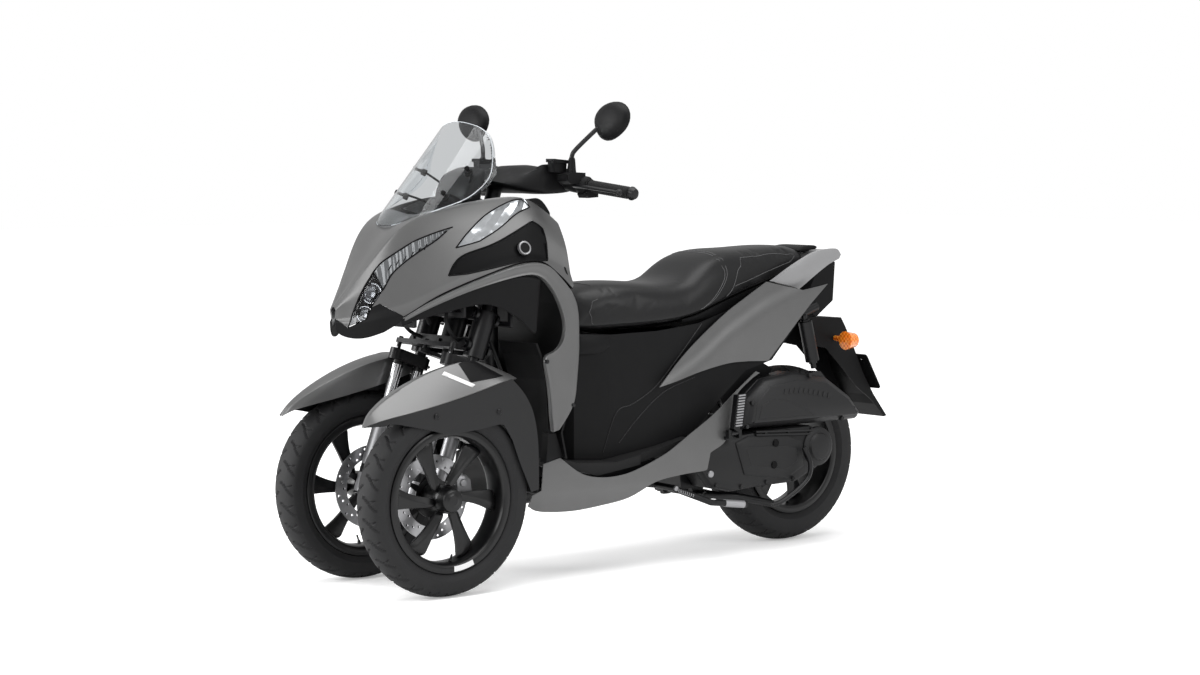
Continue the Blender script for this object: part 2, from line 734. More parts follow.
# %% Front covers and lenses
front_skin = make_front_skin()
open_well(front_skin)
FRONT_COVER = ([(970, 738), (924, 688), (897, 771)] + LAMP_HIGH + LAMP_LOW + [(876, 740), (858, 750)]
               + ARCH_RIDGE[::-1] + COWL_BACK[:0:-1] + [(800, 1040), (970, 800)])
front_cover = cover("front_cover_skin", FRONT_COVER, "grey_panel", ["side_cowls", "nose_cover"],
                    holes=(VENT, SIDE_LAMP))
smooth_by_angle(front_cover, 38)
cover("headlamp_lens", LAMP_FRONT + LAMP_REAR, "lens_dark", ["headlamp"], shrink=2.5)
cover("position_lamp_lenses", LAMP_HIGH + LAMP_LOW, "lens_clear", ["position_lamps"], paint="ribbed_lens")
cover("beak_skin", BEAK_TOP + BEAK_LOW + [(970, 738)], "black_plastic", ["beak"])
cover("vent_covers", VENT, "black_plastic", ["vent_panels"], paint="deep_black")
cover("side_lamp_lenses", SIDE_LAMP, "lens_clear", ["side_lamps"])
cover("arch_liner_skins", LINER, "black_plastic", ["arch_liners"])
tell("front covers")


# %% [markdown]
# A black rubber lip closes each shut line. Its route is found by a ray from the side onto the skin, so it
# lies on the surface wherever the line is drawn. The fins of the position lamps are laid on the same way.

# %% Lamp trims and fins
skin_tree = BVHTree.FromPolygons([v.co for v in front_skin.data.vertices],
                                 [p.vertices for p in front_skin.data.polygons])


def on_skin(x, z, side, lift=0.0):
    """Where a sideways ray at (x, z) meets the front skin from outside, in mm."""
    hit = skin_tree.ray_cast(Vector((x, side * 400, z)) * MM, Vector((0, -side, 0)))[0]
    return hit and (hit.x / MM, hit.y / MM + side * lift, hit.z / MM)


TRIM_RADIUS, FIN_RADIUS = 1.9, 1.1
# (x, z) of each fin's lower end
FIN_FEET = ((826, 850), (808, 862), (790, 872), (772, 882), (754, 892), (736, 901))
TRIM_LINES = (SIDE_LAMP + SIDE_LAMP[:1], LAMP_HIGH, LAMP_LOW, LAMP_FRONT, LAMP_REAR, ARCH_RIDGE,
              VENT + VENT[:1])

trims = []
for line in TRIM_LINES:
    for side in (1, -1):
        trims.append([place for place in (on_skin(x, z, side) for x, z in line) if place])
tube("lamp_trims", trims, TRIM_RADIUS, "black_plastic", "chassis", paint="deep_black")
fins = []
for x, z in FIN_FEET:
    for side in (1, -1):
        run = [on_skin(x + 9 * t, z - 16 * t, side, 0.4) for t in (0.1, 0.4, 0.7, 1.0)]
        fins.append([place for place in run if place])
tube("position_lamp_fins", fins, FIN_RADIUS, "black_plastic", "chassis", paint="deep_black")
tell("lamp trims")

# %% [markdown]
# Behind the lenses sit black housings: the same cuts from the skin, moved inward. Bright bowls stand in
# front of the headlamp's housing.

# %% Lamp housings and bowls
def lamp_housing(name, outline, shift, shrink=0.6):
    """Black housing behind a lens: its cut of the skin, pulled in towards the middle of the body."""
    piece = cover(name, outline, "black_plastic", (), paint="deep_black", shrink=shrink)
    for vertex in piece.data.vertices:
        side = math.copysign(1, vertex.co.y)
        vertex.co += Vector((shift[0], side * shift[1], shift[2])) * MM
    return piece


def lamp_bowl(bm, place, direction, radius, depth):
    """Bowl that opens along direction, with a rolled rim."""
    rim = [(radius + 2.5, -2), (radius + 2.5, 1), (radius, 1)]
    bowl = [(radius * math.cos(t), -depth * math.sin(t)) for t in (0.15, 0.5, 0.85, 1.2, math.pi / 2)]
    turned(bm, rim + bowl, place, direction, 32)


HEADLAMP_BOWLS = ((868, 62, 775, 24, 15), (886, 56, 722, 19, 12))  # x, y, z, radius, depth
lamp_housing("headlamp_housing", LAMP_FRONT + LAMP_REAR, (-34, -22, -3))
lamp_housing("position_lamp_housing", LAMP_HIGH + LAMP_LOW, (-4, -5, -5))
lamp_housing("side_lamp_housing", SIDE_LAMP, (-2, -6, -3))
bpy.data.objects.remove(front_skin)

bowls = bmesh.new()
for x, y, z, radius, depth in HEADLAMP_BOWLS:
    for side in (1, -1):
        lamp_bowl(bowls, (x, side * y, z), (0.8, side * 0.55, 0.2), radius, depth)
finish_piece("headlamp_bowls", bowls, "chrome", "chassis")
tell("lamp insides")

# %% [markdown]
# A round seat for a badge sits on each vent panel. It stays bare: a black disc in a silver ring, both
# turned about the panel's normal.

# %% Bare badge discs on the vents
BADGE_DISC = [(0, 2), (14, 1.6), (14, -6)]
BADGE_RING = [(14, 0), (14, 2.6), (16, 3.4), (18, 2.4), (18, -6), (14, -6)]
discs, rings = bmesh.new(), bmesh.new()
for side in (1, -1):
    place, outward = (480, side * 196, 886), (0.1, side, 0.28)
    turned(discs, BADGE_DISC, place, outward, 40)
    turned(rings, BADGE_RING, place, outward, 40, closed=True)
finish_piece("badge_discs", discs, "black_plastic", "chassis", paint="deep_black")
finish_piece("badge_rings", rings, "chrome", "chassis", paint="cast_silver")
tell("badge discs")


# %% [markdown]
# ## Leg shields
# The band over each wheel arch and the shield below it are one moulding: its section is carried along the
# arch and down to the floor.

# %% Leg shields
PLAN_WALL = [(860, 106), (800, 138), (720, 165), (610, 192), (500, 209), (425, 217.5), (335, 225.5),
             (300, 226)]
# Upper edge and lower edge of the moulding, (x, z) each, from the tip at the nose to the floor.
SHIELD_ROWS = [
    ((815, 714), (812, 706)), ((770, 743), (768, 729)), ((723, 766), (720, 750)), ((670, 789), (665, 771)),
    ((616, 809), (608, 789)), ((560, 829), (548, 804)), ((500, 845), (490, 815)), ((460, 850), (460, 816)),
    ((430, 847), (434, 806)), ((400, 832), (408, 779)), ((378, 809), (388, 748)), ((356, 789), (375, 716)),
    ((340, 768), (367, 690)), ((327, 744), (366, 662)), ((320, 718), (376, 632)), ((317, 680), (392, 616)),
    ((316, 640), (408, 609)), ((315, 614), (433, 603)), ((319, 570), (424, 562)), ((324, 525), (416, 520)),
    ((329, 482), (412, 478)), ((346, 452), (410, 446)), ((365, 429), (407, 424)), ((384, 408), (405, 401)),
]
SHIELD_SECTION = [(0.01, -13), (0.015, -4), (0.1, 1.4), (0.3, 1.6), (0.5, 0.2), (0.75, -0.6), (0.94, 0.6),
                  (0.99, -3), (0.99, -13)]


def shield_row(high, low):
    """Points across the moulding: a rolled upper edge, a slightly hollow face and a rolled lower edge."""
    row = []
    for share, rise in SHIELD_SECTION:
        x, z = (h + (l - h) * share for h, l in zip(high, low))
        row.append((x, between(PLAN_WALL, x) + rise, z))
    return row


SCREW_HEAD = [(0, 3), (4, 3), (5.5, 2), (5.5, -4)]
shields = loft(bmesh.new(), [shield_row(*row) for row in SHIELD_ROWS], closed=False, creases={2: 0.6, 6: 0.5})
mirrored(shields)
finish_piece("leg_shield_mouldings", shields, "grey_panel", "chassis", ["leg_shields"], levels=2, wall=2.6)

shield_bolts = bmesh.new()
for x, z in ((424, 588), (343, 470)):
    for side in (1, -1):
        place = (x, side * (between(PLAN_WALL, x) + 1), z)
        turned(shield_bolts, SCREW_HEAD, place, (0, side, 0), 16)
finish_piece("shield_bolts", shield_bolts, "frame_black", "chassis")
tell("leg shields")

# %% [markdown]
# The frame carries the front covers on flat ribs that were drawn for covers without rounding. They are
# eased back a little, on a copy of the frame, so that none of them comes through a rounded skin.

# %% Frame with its ribs eased back
RIB_STATIONS = (770, 640, 505)
RIB_MIDDLE = 0.80  # height in metres towards which the ribs shrink
frame_tubes = copy_piece(bpy.data.objects["frame"], "frame_tubes")
for vertex in frame_tubes.data.vertices:
    if any(-1 < vertex.co.x / MM - station < 7 for station in RIB_STATIONS):
        vertex.co.y *= 0.9
        vertex.co.z += (RIB_MIDDLE - vertex.co.z) * 0.12
dress(frame_tubes, "frame_black", "chassis", ["frame"])
tell("frame")

# %% [markdown]
# ## Screen
# The screen is a sheet bent round an arc and leaning back. Its rim is drawn on the sheet as (y, z).

# %% Screen
SCREEN_FOOT, SCREEN_HEAD = (795, 940), (548, 1224)
SCREEN_HALF_WIDTH, SCREEN_SAGITTA, SCREEN_THICKNESS = 152, 128, 3.5
SCREEN_RADIUS = (SCREEN_HALF_WIDTH ** 2 + SCREEN_SAGITTA ** 2) / (2 * SCREEN_SAGITTA)
SCREEN_RIM = flow([(0, 945), (40, 948), (80, 964), (115, 986), (140, 1008), (149, 1035), (150, 1078),
                   (141, 1124), (127, 1160), (108, 1184), (76, 1202), (30, 1212), (0, 1214)], 4)
SCREEN_BOLTS = ((106, 1029), (118, 1092))


def on_screen(y, z, lift=0.0):
    """Point of the sheet's outer face, moved forward by lift."""
    share = (z - SCREEN_FOOT[1]) / (SCREEN_HEAD[1] - SCREEN_FOOT[1])
    front = SCREEN_FOOT[0] + (SCREEN_HEAD[0] - SCREEN_FOOT[0]) * share
    return (front + lift - SCREEN_RADIUS + math.sqrt(SCREEN_RADIUS ** 2 - y ** 2), y, z)


across = [SCREEN_RADIUS * math.sin(math.radians(turn)) for turn in range(-84, 85, 4)]
sheet = [[on_screen(y, z) for y in across] for z in range(930, 1231, 15)]
screen = finish_piece("screen_sheet", loft(bmesh.new(), sheet, closed=False), "screen", "chassis",
                      ["windscreen"], levels=1, wall=SCREEN_THICKNESS)
rim = SCREEN_RIM + [(-y, z) for y, z in SCREEN_RIM[-2:0:-1]]
boolean(screen, loft(bmesh.new(), [[(x, y, z) for y, z in rim] for x in (450, 900)], caps=True), "INTERSECT")
smooth_by_angle(screen, 38)
dress(screen, "screen", "chassis", ["windscreen"])
edge_runs = [[on_screen(s * y, z, -1.5) for y, z in SCREEN_RIM[3:]] for s in (1, -1)]
tube("screen_edge", edge_runs, 0.9, "screen", "chassis", paint="pale_edge")

SPACER_BOLT = [(0, 4), (5, 3.5), (7, 1.5), (7, 0), (4, 0), (4, -22), (9, -22), (9, -34)]
screen_bolts = bmesh.new()
for y, z in SCREEN_BOLTS:
    for side in (1, -1):
        outward = Vector((math.sqrt(SCREEN_RADIUS ** 2 - y ** 2), side * y, 0)).normalized()
        turned(screen_bolts, SPACER_BOLT, on_screen(side * y, z), outward + Vector((0, 0, 0.45)), 20)
finish_piece("screen_bolts", screen_bolts, "black_plastic", "chassis", paint="deep_black")
tell("screen")

# %% [markdown]
# Behind the screen stands a small pod for the instruments, and thin brackets run from it to the screen's
# bolts. Half the pod is lofted outward from the middle plane and then mirrored, so its two sides are the
# same.

# %% Instrument pod behind the screen
POD_SIDE = [(585, 985), (578, 1046), (552, 1082), (516, 1096), (506, 1090), (528, 1056), (520, 985)]
POD_ROWS = [(0, 1.0), (40, 0.99), (66, 0.94), (76, 0.84)]  # y, share of the side view


def pod_row(y, share):
    """Side view of the pod at y, shrunk towards the middle of its foot."""
    return [(550 + (x - 550) * share, y, 985 + (z - 985) * share) for x, z in POD_SIDE]


pod = loft(bmesh.new(), [pod_row(*row) for row in POD_ROWS], creases={2: 0.5, 3: 0.6, 4: 0.8, 5: 0.7})
pod.faces.new([v for v in pod.verts if abs(v.co.y - POD_ROWS[-1][0] * MM) < 1e-6])
finish_piece("instrument_pod", mirrored(pod), "black_plastic", "chassis", levels=2)
screen_posts = [[(585, s * 60, 990), (600, s * 95, 1010), (655, s * 104, 1024)] for s in (1, -1)]
screen_posts += [[(560, s * 60, 1050), (575, s * 100, 1075), (592, s * 114, 1088)] for s in (1, -1)]
tube("screen_brackets", screen_posts, 3, "black_plastic", "chassis")
tell("instrument pod")

# %% [markdown]
# ## Wheels
# Tyres, rims and discs are turned from profiles of radius and distance along the axle. Tread grooves are
# pressed in by a formula that repeats round the tyre.

# %% Tyres
FRONT_AXLE_X, FRONT_WHEEL_Y, FRONT_RADIUS = 740, 192.5, 250
REAR_AXLE_X, REAR_RADIUS = -610, 256

# half is half the tyre's width; bead, edge and hub are how far these reach from the middle of the wheel
Wheel = namedtuple("Wheel", "body tyre casting x y radius half rim bead edge hub out blocks")
WHEELS = [
    Wheel(f"front_wheel_{name}", f"tyre_front_{name}", f"wheel_front_{name}",
          FRONT_AXLE_X, side * FRONT_WHEEL_Y, FRONT_RADIUS,
          half=45, rim=178, bead=29, edge=38, hub=54, out=side, blocks=28)
    for name, side in SIDES
]
WHEELS.append(Wheel("rear_wheel", "tyre_rear", "wheel_rear", REAR_AXLE_X, 0, REAR_RADIUS,
                    half=65, rim=165, bead=46, edge=60, hub=64, out=1, blocks=26))
TYRE_STEPS = 700
GROOVE_DEPTH, GROOVE_WIDTH = 4.2, 6.5


def tyre_profile(wheel):
    """Bead, sidewall, shoulder and crown, from one bead to the other."""
    half, rim, bead = wheel.half, wheel.rim, wheel.bead
    shoulder = wheel.radius - half * 0.54
    wall = [(rim + 1.6, bead), (rim + 9, bead + 1), (rim + 12, bead + 6), (rim + 13.5, bead + 5.6),
            (shoulder - half * 0.44, half - 0.8), (shoulder - half * 0.2, half)]
    rise = wheel.radius - shoulder
    crown = [(shoulder + rise * math.cos(t), half * math.sin(t))
             for t in (1.4 - 1.4 * k / 11 for k in range(12))]
    side = wall + crown
    return side + [(r, -w) for r, w in side[-2::-1]]


def groove(turn, across, half, blocks):
    """Depth of the tread at an angle and a place across: curved slashes, offset on the two sides."""
    reach = abs(across) / half
    if not 0.1 < reach < 0.93:
        return 0.0
    shift = 0.0 if across > 0 else 0.5
    long_slash = (turn * blocks / math.tau + shift + 0.75 * reach ** 1.5) % 1
    short_slash = (turn * blocks / math.tau + shift + 0.45 - 0.35 * reach) % 1
    width = GROOVE_WIDTH * blocks / 1550
    if abs(long_slash - 0.5) < width / 2:
        return GROOVE_DEPTH
    if 0.52 < reach < 0.9 and abs(short_slash - 0.5) < width * 0.4:
        return GROOVE_DEPTH * 0.8
    return 0.0


for wheel in WHEELS:
    bm = turned(bmesh.new(), tyre_profile(wheel), (wheel.x, wheel.y, wheel.radius), (0, 1, 0), TYRE_STEPS)
    for vertex in bm.verts:
        arm = Vector((vertex.co.x - wheel.x * MM, vertex.co.z - wheel.radius * MM))
        across = vertex.co.y / MM - wheel.y
        if arm.length > (wheel.radius - wheel.half * 0.54) * MM:
            cut = groove(math.atan2(arm.y, arm.x), across, wheel.half, wheel.blocks) * MM
            vertex.co.x -= arm.x / arm.length * cut
            vertex.co.z -= arm.y / arm.length * cut
    finish_piece(wheel.tyre + "_tread", bm, "tyre", wheel.body, [wheel.tyre], sharp=28)
tell("tyres")

# %% [markdown]
# The wheels are castings: a barrel with rolled lips, a stepped hub and six blades. Each blade widens
# towards the rim and carries a ridge that runs from one edge to the other.

# %% Blades
SPOKES = 6
HUB_SEAT = 27  # radius at which a blade leaves the hub
VALVE_TURN = math.radians(-93)
BLADE_ROWS = (  # share of the way out, half width, thickness, ridge share across
    (0.0, 13, 15, -0.5), (0.25, 13, 13, -0.3), (0.55, 17, 11, 0.05), (0.8, 25, 10, 0.35), (1.0, 33, 12, 0.55),
)


def blade(bm, wheel, turn):
    """One blade: five sections of six points, swung round the axle."""
    out, reach = wheel.out, wheel.rim - 15
    cosine, sine = math.cos(turn), math.sin(turn)
    rows = []
    for share, half, thick, ridge in BLADE_ROWS:
        away = HUB_SEAT + (reach - HUB_SEAT) * share
        drift = 24 * share ** 1.6 - 6
        face = out * (10 - 2 * share)
        section = [(-half, face - out * thick), (-half, face - out * 2), (ridge * half, face + out * 3.5),
                   (half, face - out * 2), (half, face - out * thick), (0, face - out * (thick + 2))]
        rows.append([(wheel.x + away * cosine - (w + drift) * sine, wheel.y + v,
                      wheel.radius + away * sine + (w + drift) * cosine) for w, v in section])
    loft(bm, rows, caps=True, creases={0: 0.7, 1: 0.8, 2: 0.75, 3: 0.8, 4: 0.7})


# %% [markdown]
# The casting itself is four lathe jobs in one mesh: the barrel between the bead seats, the stepped hub,
# its bolts and the valve stem. The bare label on the lip is a short curved bar.

# %% Barrel, hub and label
def wheel_casting(wheel):
    """Barrel, hub, hub bolts and valve of one wheel in one bmesh."""
    x, y, z, out, rim, edge = wheel.x, wheel.y, wheel.radius, wheel.out, wheel.rim, wheel.edge
    casting = bmesh.new()
    barrel = [(rim - 12, edge - 1.5), (rim - 10, edge), (rim + 7, edge), (rim + 9, edge - 1.5),
              (rim + 9, edge * 0.86), (rim + 2, edge * 0.78), (rim + 1, 0)]
    inside = [(rim - 18, -edge * 0.55), (rim - 18, edge * 0.55)]
    turned(casting, barrel + [(r, -w) for r, w in barrel[-2::-1]] + inside, (x, y, z), (0, 1, 0), 96,
           closed=True)
    hub = [(9.6, -wheel.hub), (34, -wheel.hub), (36, -wheel.hub + 3), (36, 12), (35, 22), (33, 26),
           (31.5, 38), (29, 42), (9.6, 42)]
    turned(casting, hub, (x, y, z), (0, out, 0), 48, closed=True)
    for k in range(SPOKES):
        turn = math.tau * (k + 0.5) / SPOKES
        place = (x + 26 * math.cos(turn), y + out * 20, z + 26 * math.sin(turn))
        turned(casting, [(0, 7), (3.4, 7), (4, 6), (4, -6)], place, (0, out, 0), 12)
    turn = VALVE_TURN
    stem = (x + (rim - 18) * math.cos(turn), y + out * edge * 0.4, z + (rim - 18) * math.sin(turn))
    inward = (-math.cos(turn), out * 0.5, -math.sin(turn))
    turned(casting, [(0, 22), (2.6, 22), (2.6, 8), (4.5, 6), (4.5, -2)], stem, inward, 12)
    return casting


def rim_label(wheel):
    """Bare label on the outer lip: a thin bar along 20 degrees of the rim."""
    section = ((wheel.rim - 9, wheel.edge), (wheel.rim - 9, wheel.edge + 0.5),
               (wheel.rim + 5, wheel.edge + 0.5), (wheel.rim + 5, wheel.edge))
    x, y, z, out = wheel.x, wheel.y, wheel.radius, wheel.out
    rows = []
    for turn in (math.radians(-112 + 2 * k) for k in range(11)):
        rows.append([(x + r * math.cos(turn), y + out * v, z + r * math.sin(turn)) for r, v in section])
    return loft(bmesh.new(), rows, caps=True)


# %% Finished wheels
HUB_CAP = [(0, 2), (13, 2), (14, 1.2), (22, 1), (28, -0.6), (29.4, -2.4), (29.4, -7)]
for wheel in WHEELS:
    blades = bmesh.new()
    for k in range(SPOKES):
        blade(blades, wheel, math.tau * k / SPOKES)
    finish_piece(wheel.casting + "_blades", blades, "wheel_black", wheel.body, levels=2)
    finish_piece(wheel.casting + "_casting", wheel_casting(wheel), "wheel_black", wheel.body, [wheel.casting])
    if wheel.body != "rear_wheel":
        finish_piece(wheel.casting + "_label", rim_label(wheel), "wheel_black", wheel.body,
                     paint="blank_label")
    outer = (wheel.x, wheel.y + wheel.out * 43, wheel.radius)
    cap = turned(bmesh.new(), HUB_CAP, outer, (0, wheel.out, 0), 40)
    finish_piece(wheel.casting + "_hub_cap", cap, "wheel_black", wheel.body)
tell("cast wheels")

# %% [markdown]
# A brake disc is a flat ring on a six-armed carrier. The holes that shed water are drilled in three
# rings, each turned a third of a pitch against the last, by one boolean with all the drills.

# %% Brake discs
DISC_RADIUS, DISC_BORE, DISC_THICKNESS, DISC_INSET = 110, 76, 4, 52
HOLE_RINGS = ((84, 12, 0.0), (93, 12, 0.33), (102, 12, 0.66))  # radius, holes, share of a pitch

for side_name, side in SIDES:
    x, y, z = FRONT_AXLE_X, side * (FRONT_WHEEL_Y - DISC_INSET), FRONT_RADIUS
    body, node = f"front_wheel_{side_name}", f"disc_front_{side_name}"
    half = DISC_THICKNESS / 2
    ring = [(DISC_BORE, -half), (DISC_RADIUS, -half), (DISC_RADIUS, half), (DISC_BORE, half)]
    blank = turned(bmesh.new(), ring, (x, y, z), (0, 1, 0), 96, closed=True)
    disc = finish_piece(node + "_blade", blank, "steel", body, [node])
    drills = bmesh.new()
    for radius, holes, shift in HOLE_RINGS:
        for k in range(holes):
            turn = math.tau * (k + shift) / holes
            place = (x + radius * math.cos(turn), y, z + radius * math.sin(turn))
            turned(drills, [(0, -4), (3.6, -4), (3.6, 4), (0, 4)], place, (0, 1, 0), 10)
    boolean(disc, drills, "DIFFERENCE")
    dress(disc, "steel", body)
    smooth_by_angle(disc, 30)
    carrier = bmesh.new()
    turned(carrier, [(36, -2), (52, -2), (52, 2), (36, 2)], (x, y, z), (0, 1, 0), 48, closed=True)
    for k in range(SPOKES):
        turn = math.tau * (k + 0.5) / SPOKES
        cosine, sine = math.cos(turn), math.sin(turn)
        arm = [(46, -9), (80, -5), (80, 5), (46, 9)]
        outline = [(x + r * cosine - w * sine, z + r * sine + w * cosine) for r, w in arm]
        prism(carrier, outline, y - 1.6, y + 1.6)
    finish_piece(node + "_carrier", carrier, "wheel_black", body)
tell("brake discs")

# %% [markdown]
# ## Forks
# Each wheel hangs on a pair of slim tubes on its inner side, with a silver foot that holds the stub axle
# and carries the caliper.

# %% Fork tubes and bolts
LEAN = math.radians(20)
STEER_UP = Vector((-math.sin(LEAN), 0, math.cos(LEAN)))
STEER_FORWARD = Vector((math.cos(LEAN), 0, math.sin(LEAN)))
FORK_Y = 118
FORK_TUBES = (62, -6)  # how far each tube stands ahead of the steering line
DUST_SEAL = [(15.6, 2), (19.6, 2), (20.4, -4), (20.4, -14), (19.3, -18), (19.3, -150)]
CALIPER_TURN, CALIPER_REACH, CALIPER_Y = math.radians(172), 100, 137.5


def steer_point(height, forward=0.0, y=0.0):
    """Point of the steering plane: a height on the steering line, then a distance square to it."""
    return Vector((808 - height * math.tan(LEAN), y, height)) + STEER_FORWARD * forward


def fork_tubes(side):
    """Chrome tubes of one fork, and the sliders with their dust seals and feet."""
    chrome, sliders = bmesh.new(), bmesh.new()
    for forward in FORK_TUBES:
        seal = steer_point(430, forward, side * FORK_Y)
        turned(chrome, [(15.3, -4), (15.3, 128)], seal, STEER_UP, 32)
        turned(sliders, DUST_SEAL, seal, STEER_UP, 32)
    for forward in FORK_TUBES:
        low = steer_point(218, forward, side * FORK_Y)
        turned(sliders, [(0, -4), (14, -4), (19.6, 2), (19.6, 48), (19.2, 52)], low, STEER_UP, 32)
    return chrome, sliders


def fork_bolts(side):
    """Six-sided bolts through the foot and on top of the crown."""
    bolts = bmesh.new()
    for forward in (*FORK_TUBES, 28):
        place = steer_point(230, forward, side * (FORK_Y + 19))
        turned(bolts, [(0, 3), (5, 3), (6, 2), (6, -3)], place, (0, side, 0), 6)
    for forward in (-20, 76):
        place = steer_point(572, forward, side * FORK_Y)
        turned(bolts, [(0, 24), (5, 24), (6, 22), (6, 16)], place, STEER_UP, 6)
    return bolts


# %% [markdown]
# A caliper grips the disc from both sides. Its halves are lofted across their thickness, smaller at the
# faces, which rounds their edges; a bridge joins them over the disc's rim.

# %% Calipers
def caliper(side):
    """Two halves beside the disc, the bridge between them and two piston caps on the outer one."""
    cosine, sine = math.cos(CALIPER_TURN), math.sin(CALIPER_TURN)
    axle = Vector((FRONT_AXLE_X, side * CALIPER_Y, FRONT_RADIUS))
    middle = Vector((axle.x + CALIPER_REACH * cosine, axle.y, axle.z + CALIPER_REACH * sine))
    along, across = Vector((-sine, 0, cosine)), Vector((cosine, 0, sine))
    outline = ((-38, -14), (-30, -22), (30, -22), (38, -14), (36, 10), (22, 22), (-22, 22), (-36, 10))
    halves = bmesh.new()
    for low, high in ((-13, -3.5), (3.5, 13)):
        rows = [[middle + along * (a * f) + across * (b * f) + Vector((0, side * w, 0)) for a, b in outline]
                for w, f in ((low, 0.9), (low + 2.5, 1.0), (high - 2.5, 1.0), (high, 0.9))]
        loft(halves, rows, caps=True)
    bridge = [[middle + along * a + across * b + Vector((0, side * w, 0)) for a, b in
               ((-26, 8), (26, 8), (22, 21), (-22, 21))] for w in (-6, 6)]
    loft(halves, bridge, caps=True)
    for a in (-17, 15):
        place = middle + along * a + across * -4 + Vector((0, side * 13, 0))
        turned(halves, [(0, 4), (9, 4), (11, 2), (11, -2)], place, (0, side, 0), 24)
    return halves


# %% Finished forks
for side_name, side in SIDES:
    body = f"fork_{side_name}"
    chrome, sliders = fork_tubes(side)
    finish_piece(body + "_stanchions", chrome, "chrome", body)
    finish_piece(body + "_sliders", sliders, "cast_grey", body, paint="cast_silver")
    finish_piece(body + "_bolts", fork_bolts(side), "steel", body)
    finish_piece(body + "_caliper", caliper(side), "steel", body, [f"caliper_{side_name}"],
                 paint="cast_silver")
tell("forks")

# %% [markdown]
# ## Front fenders
# A painted shell with a ridge lies on a black skirt that comes down beside the tyre and wraps round
# behind it.

# %% Sections and outlines of the fenders
FENDER_ROWS = (  # x, inner edge y, ridge y, outer edge y, ridge height, edge height
    (984, 185, 190, 196, 453, 449), (972, 176, 190, 209, 471, 457), (957, 168, 190, 221, 487, 465),
    (922, 157, 190, 234, 511, 474), (887, 150, 190, 243, 531, 481), (835, 145, 190, 248, 556, 491),
    (779, 143, 190, 250, 577, 502), (720, 142, 191, 250, 593, 515), (664, 142, 192, 250, 602, 528),
    (630, 142, 193, 250, 599, 537), (600, 142, 194, 249, 589, 545), (572, 143, 197, 246, 577, 550),
    (540, 147, 200, 240, 563, 552),
)
SKIRT_HIGH = flow([(558, 552), (598, 545), (664, 527.5), (779, 501.5), (887, 480.5), (957, 464), (984, 450)])
SKIRT_LOW = flow([(984, 450), (940, 453), (916, 457), (825, 438), (763, 424), (669, 428), (598, 437),
                  (580, 424), (560, 394)])
SKIRT_TAIL = flow([(560, 394), (534, 330), (518, 296), (506, 270), (499, 254)]) + [(474, 259)]
SKIRT_BACK = flow([(474, 309), (477, 388), (490, 454), (517, 508), (558, 552)])
SKIRT_PLAN = [(990, 194), (957, 220), (922, 233), (887, 242), (835, 247), (779, 249), (600, 249),
              (470, 248.5)]
GUARD_RADIUS = 264
INNER_WALL = [(779, 505), (779, 550), (664, 576), (612, 565), (604, 480), (640, 488), (700, 504), (740, 507)]


MARKS = (  # bare label and stripe on the fender, as (x, z)
    ("label", [(692, 595), (650, 606), (577, 560), (682, 549)], "deep_black"),
    ("stripe", [(740, 578), (671, 543), (683, 537), (751, 570)], "blank_label"),
)
SKIRT_LEAN = [(235, 1.2), (430, 1.2), (470, 0), (575, 6)]  # height, distance inward
SKIRT_HEIGHTS = (235, 290, 350, 400, 440, 466, 474, 500, 540, 580)


# %% [markdown]
# The shell is lofted from its sections with creases on the ridge and the edges. The skirt is a nearly
# flat sheet cut to its side view, and the guard is an arch of constant radius round the tyre.

# %% Shapes of the fenders
def fender_row(x, inner, ridge, outer, ridge_z, edge_z, side):
    """Section of the painted shell at x: inner flank, ridge and outer flank with a small return."""
    shoulder = ridge_z - 0.1 * (ridge_z - edge_z) - 3
    row = [(inner, edge_z), (inner - 0.5, (edge_z + shoulder) / 2), (inner + 2, shoulder),
           ((inner + ridge) / 2, (shoulder + ridge_z) / 2 + 1.5), (ridge, ridge_z),
           (ridge + (outer - ridge) * 0.5, ridge_z - (ridge_z - edge_z) * 0.44),
           (outer, edge_z), (outer - 5, edge_z - 3)]
    return [(x, side * y, z) for y, z in row]


def skirt_row(x, side):
    """Column of the black skirt at x, with a faint crease along its middle."""
    return [(x, side * (between(SKIRT_PLAN, x) - between(SKIRT_LEAN, z)), z) for z in SKIRT_HEIGHTS]


def fender_guard(side):
    """Inner guard: the arch behind the tyre, the flat inner wall and the pin between them."""
    guard = bmesh.new()
    section = ((GUARD_RADIUS, 146), (GUARD_RADIUS + 3, 144), (GUARD_RADIUS + 3, 242), (GUARD_RADIUS, 242))
    rows = []
    for turn in (math.radians(112 + 68 * k / 24) for k in range(25)):
        cosine, sine = math.cos(turn), math.sin(turn)
        rows.append([(FRONT_AXLE_X + r * cosine, side * y, FRONT_RADIUS + r * sine) for r, y in section])
    loft(guard, rows, caps=True)
    prism(guard, INNER_WALL, *sorted((side * 146.6, side * 149.6)))
    return turned(guard, [(0, -2), (5, -2), (5, 98), (0, 98)], (634, side * 149, 493.6), (0, side, 0), 16)


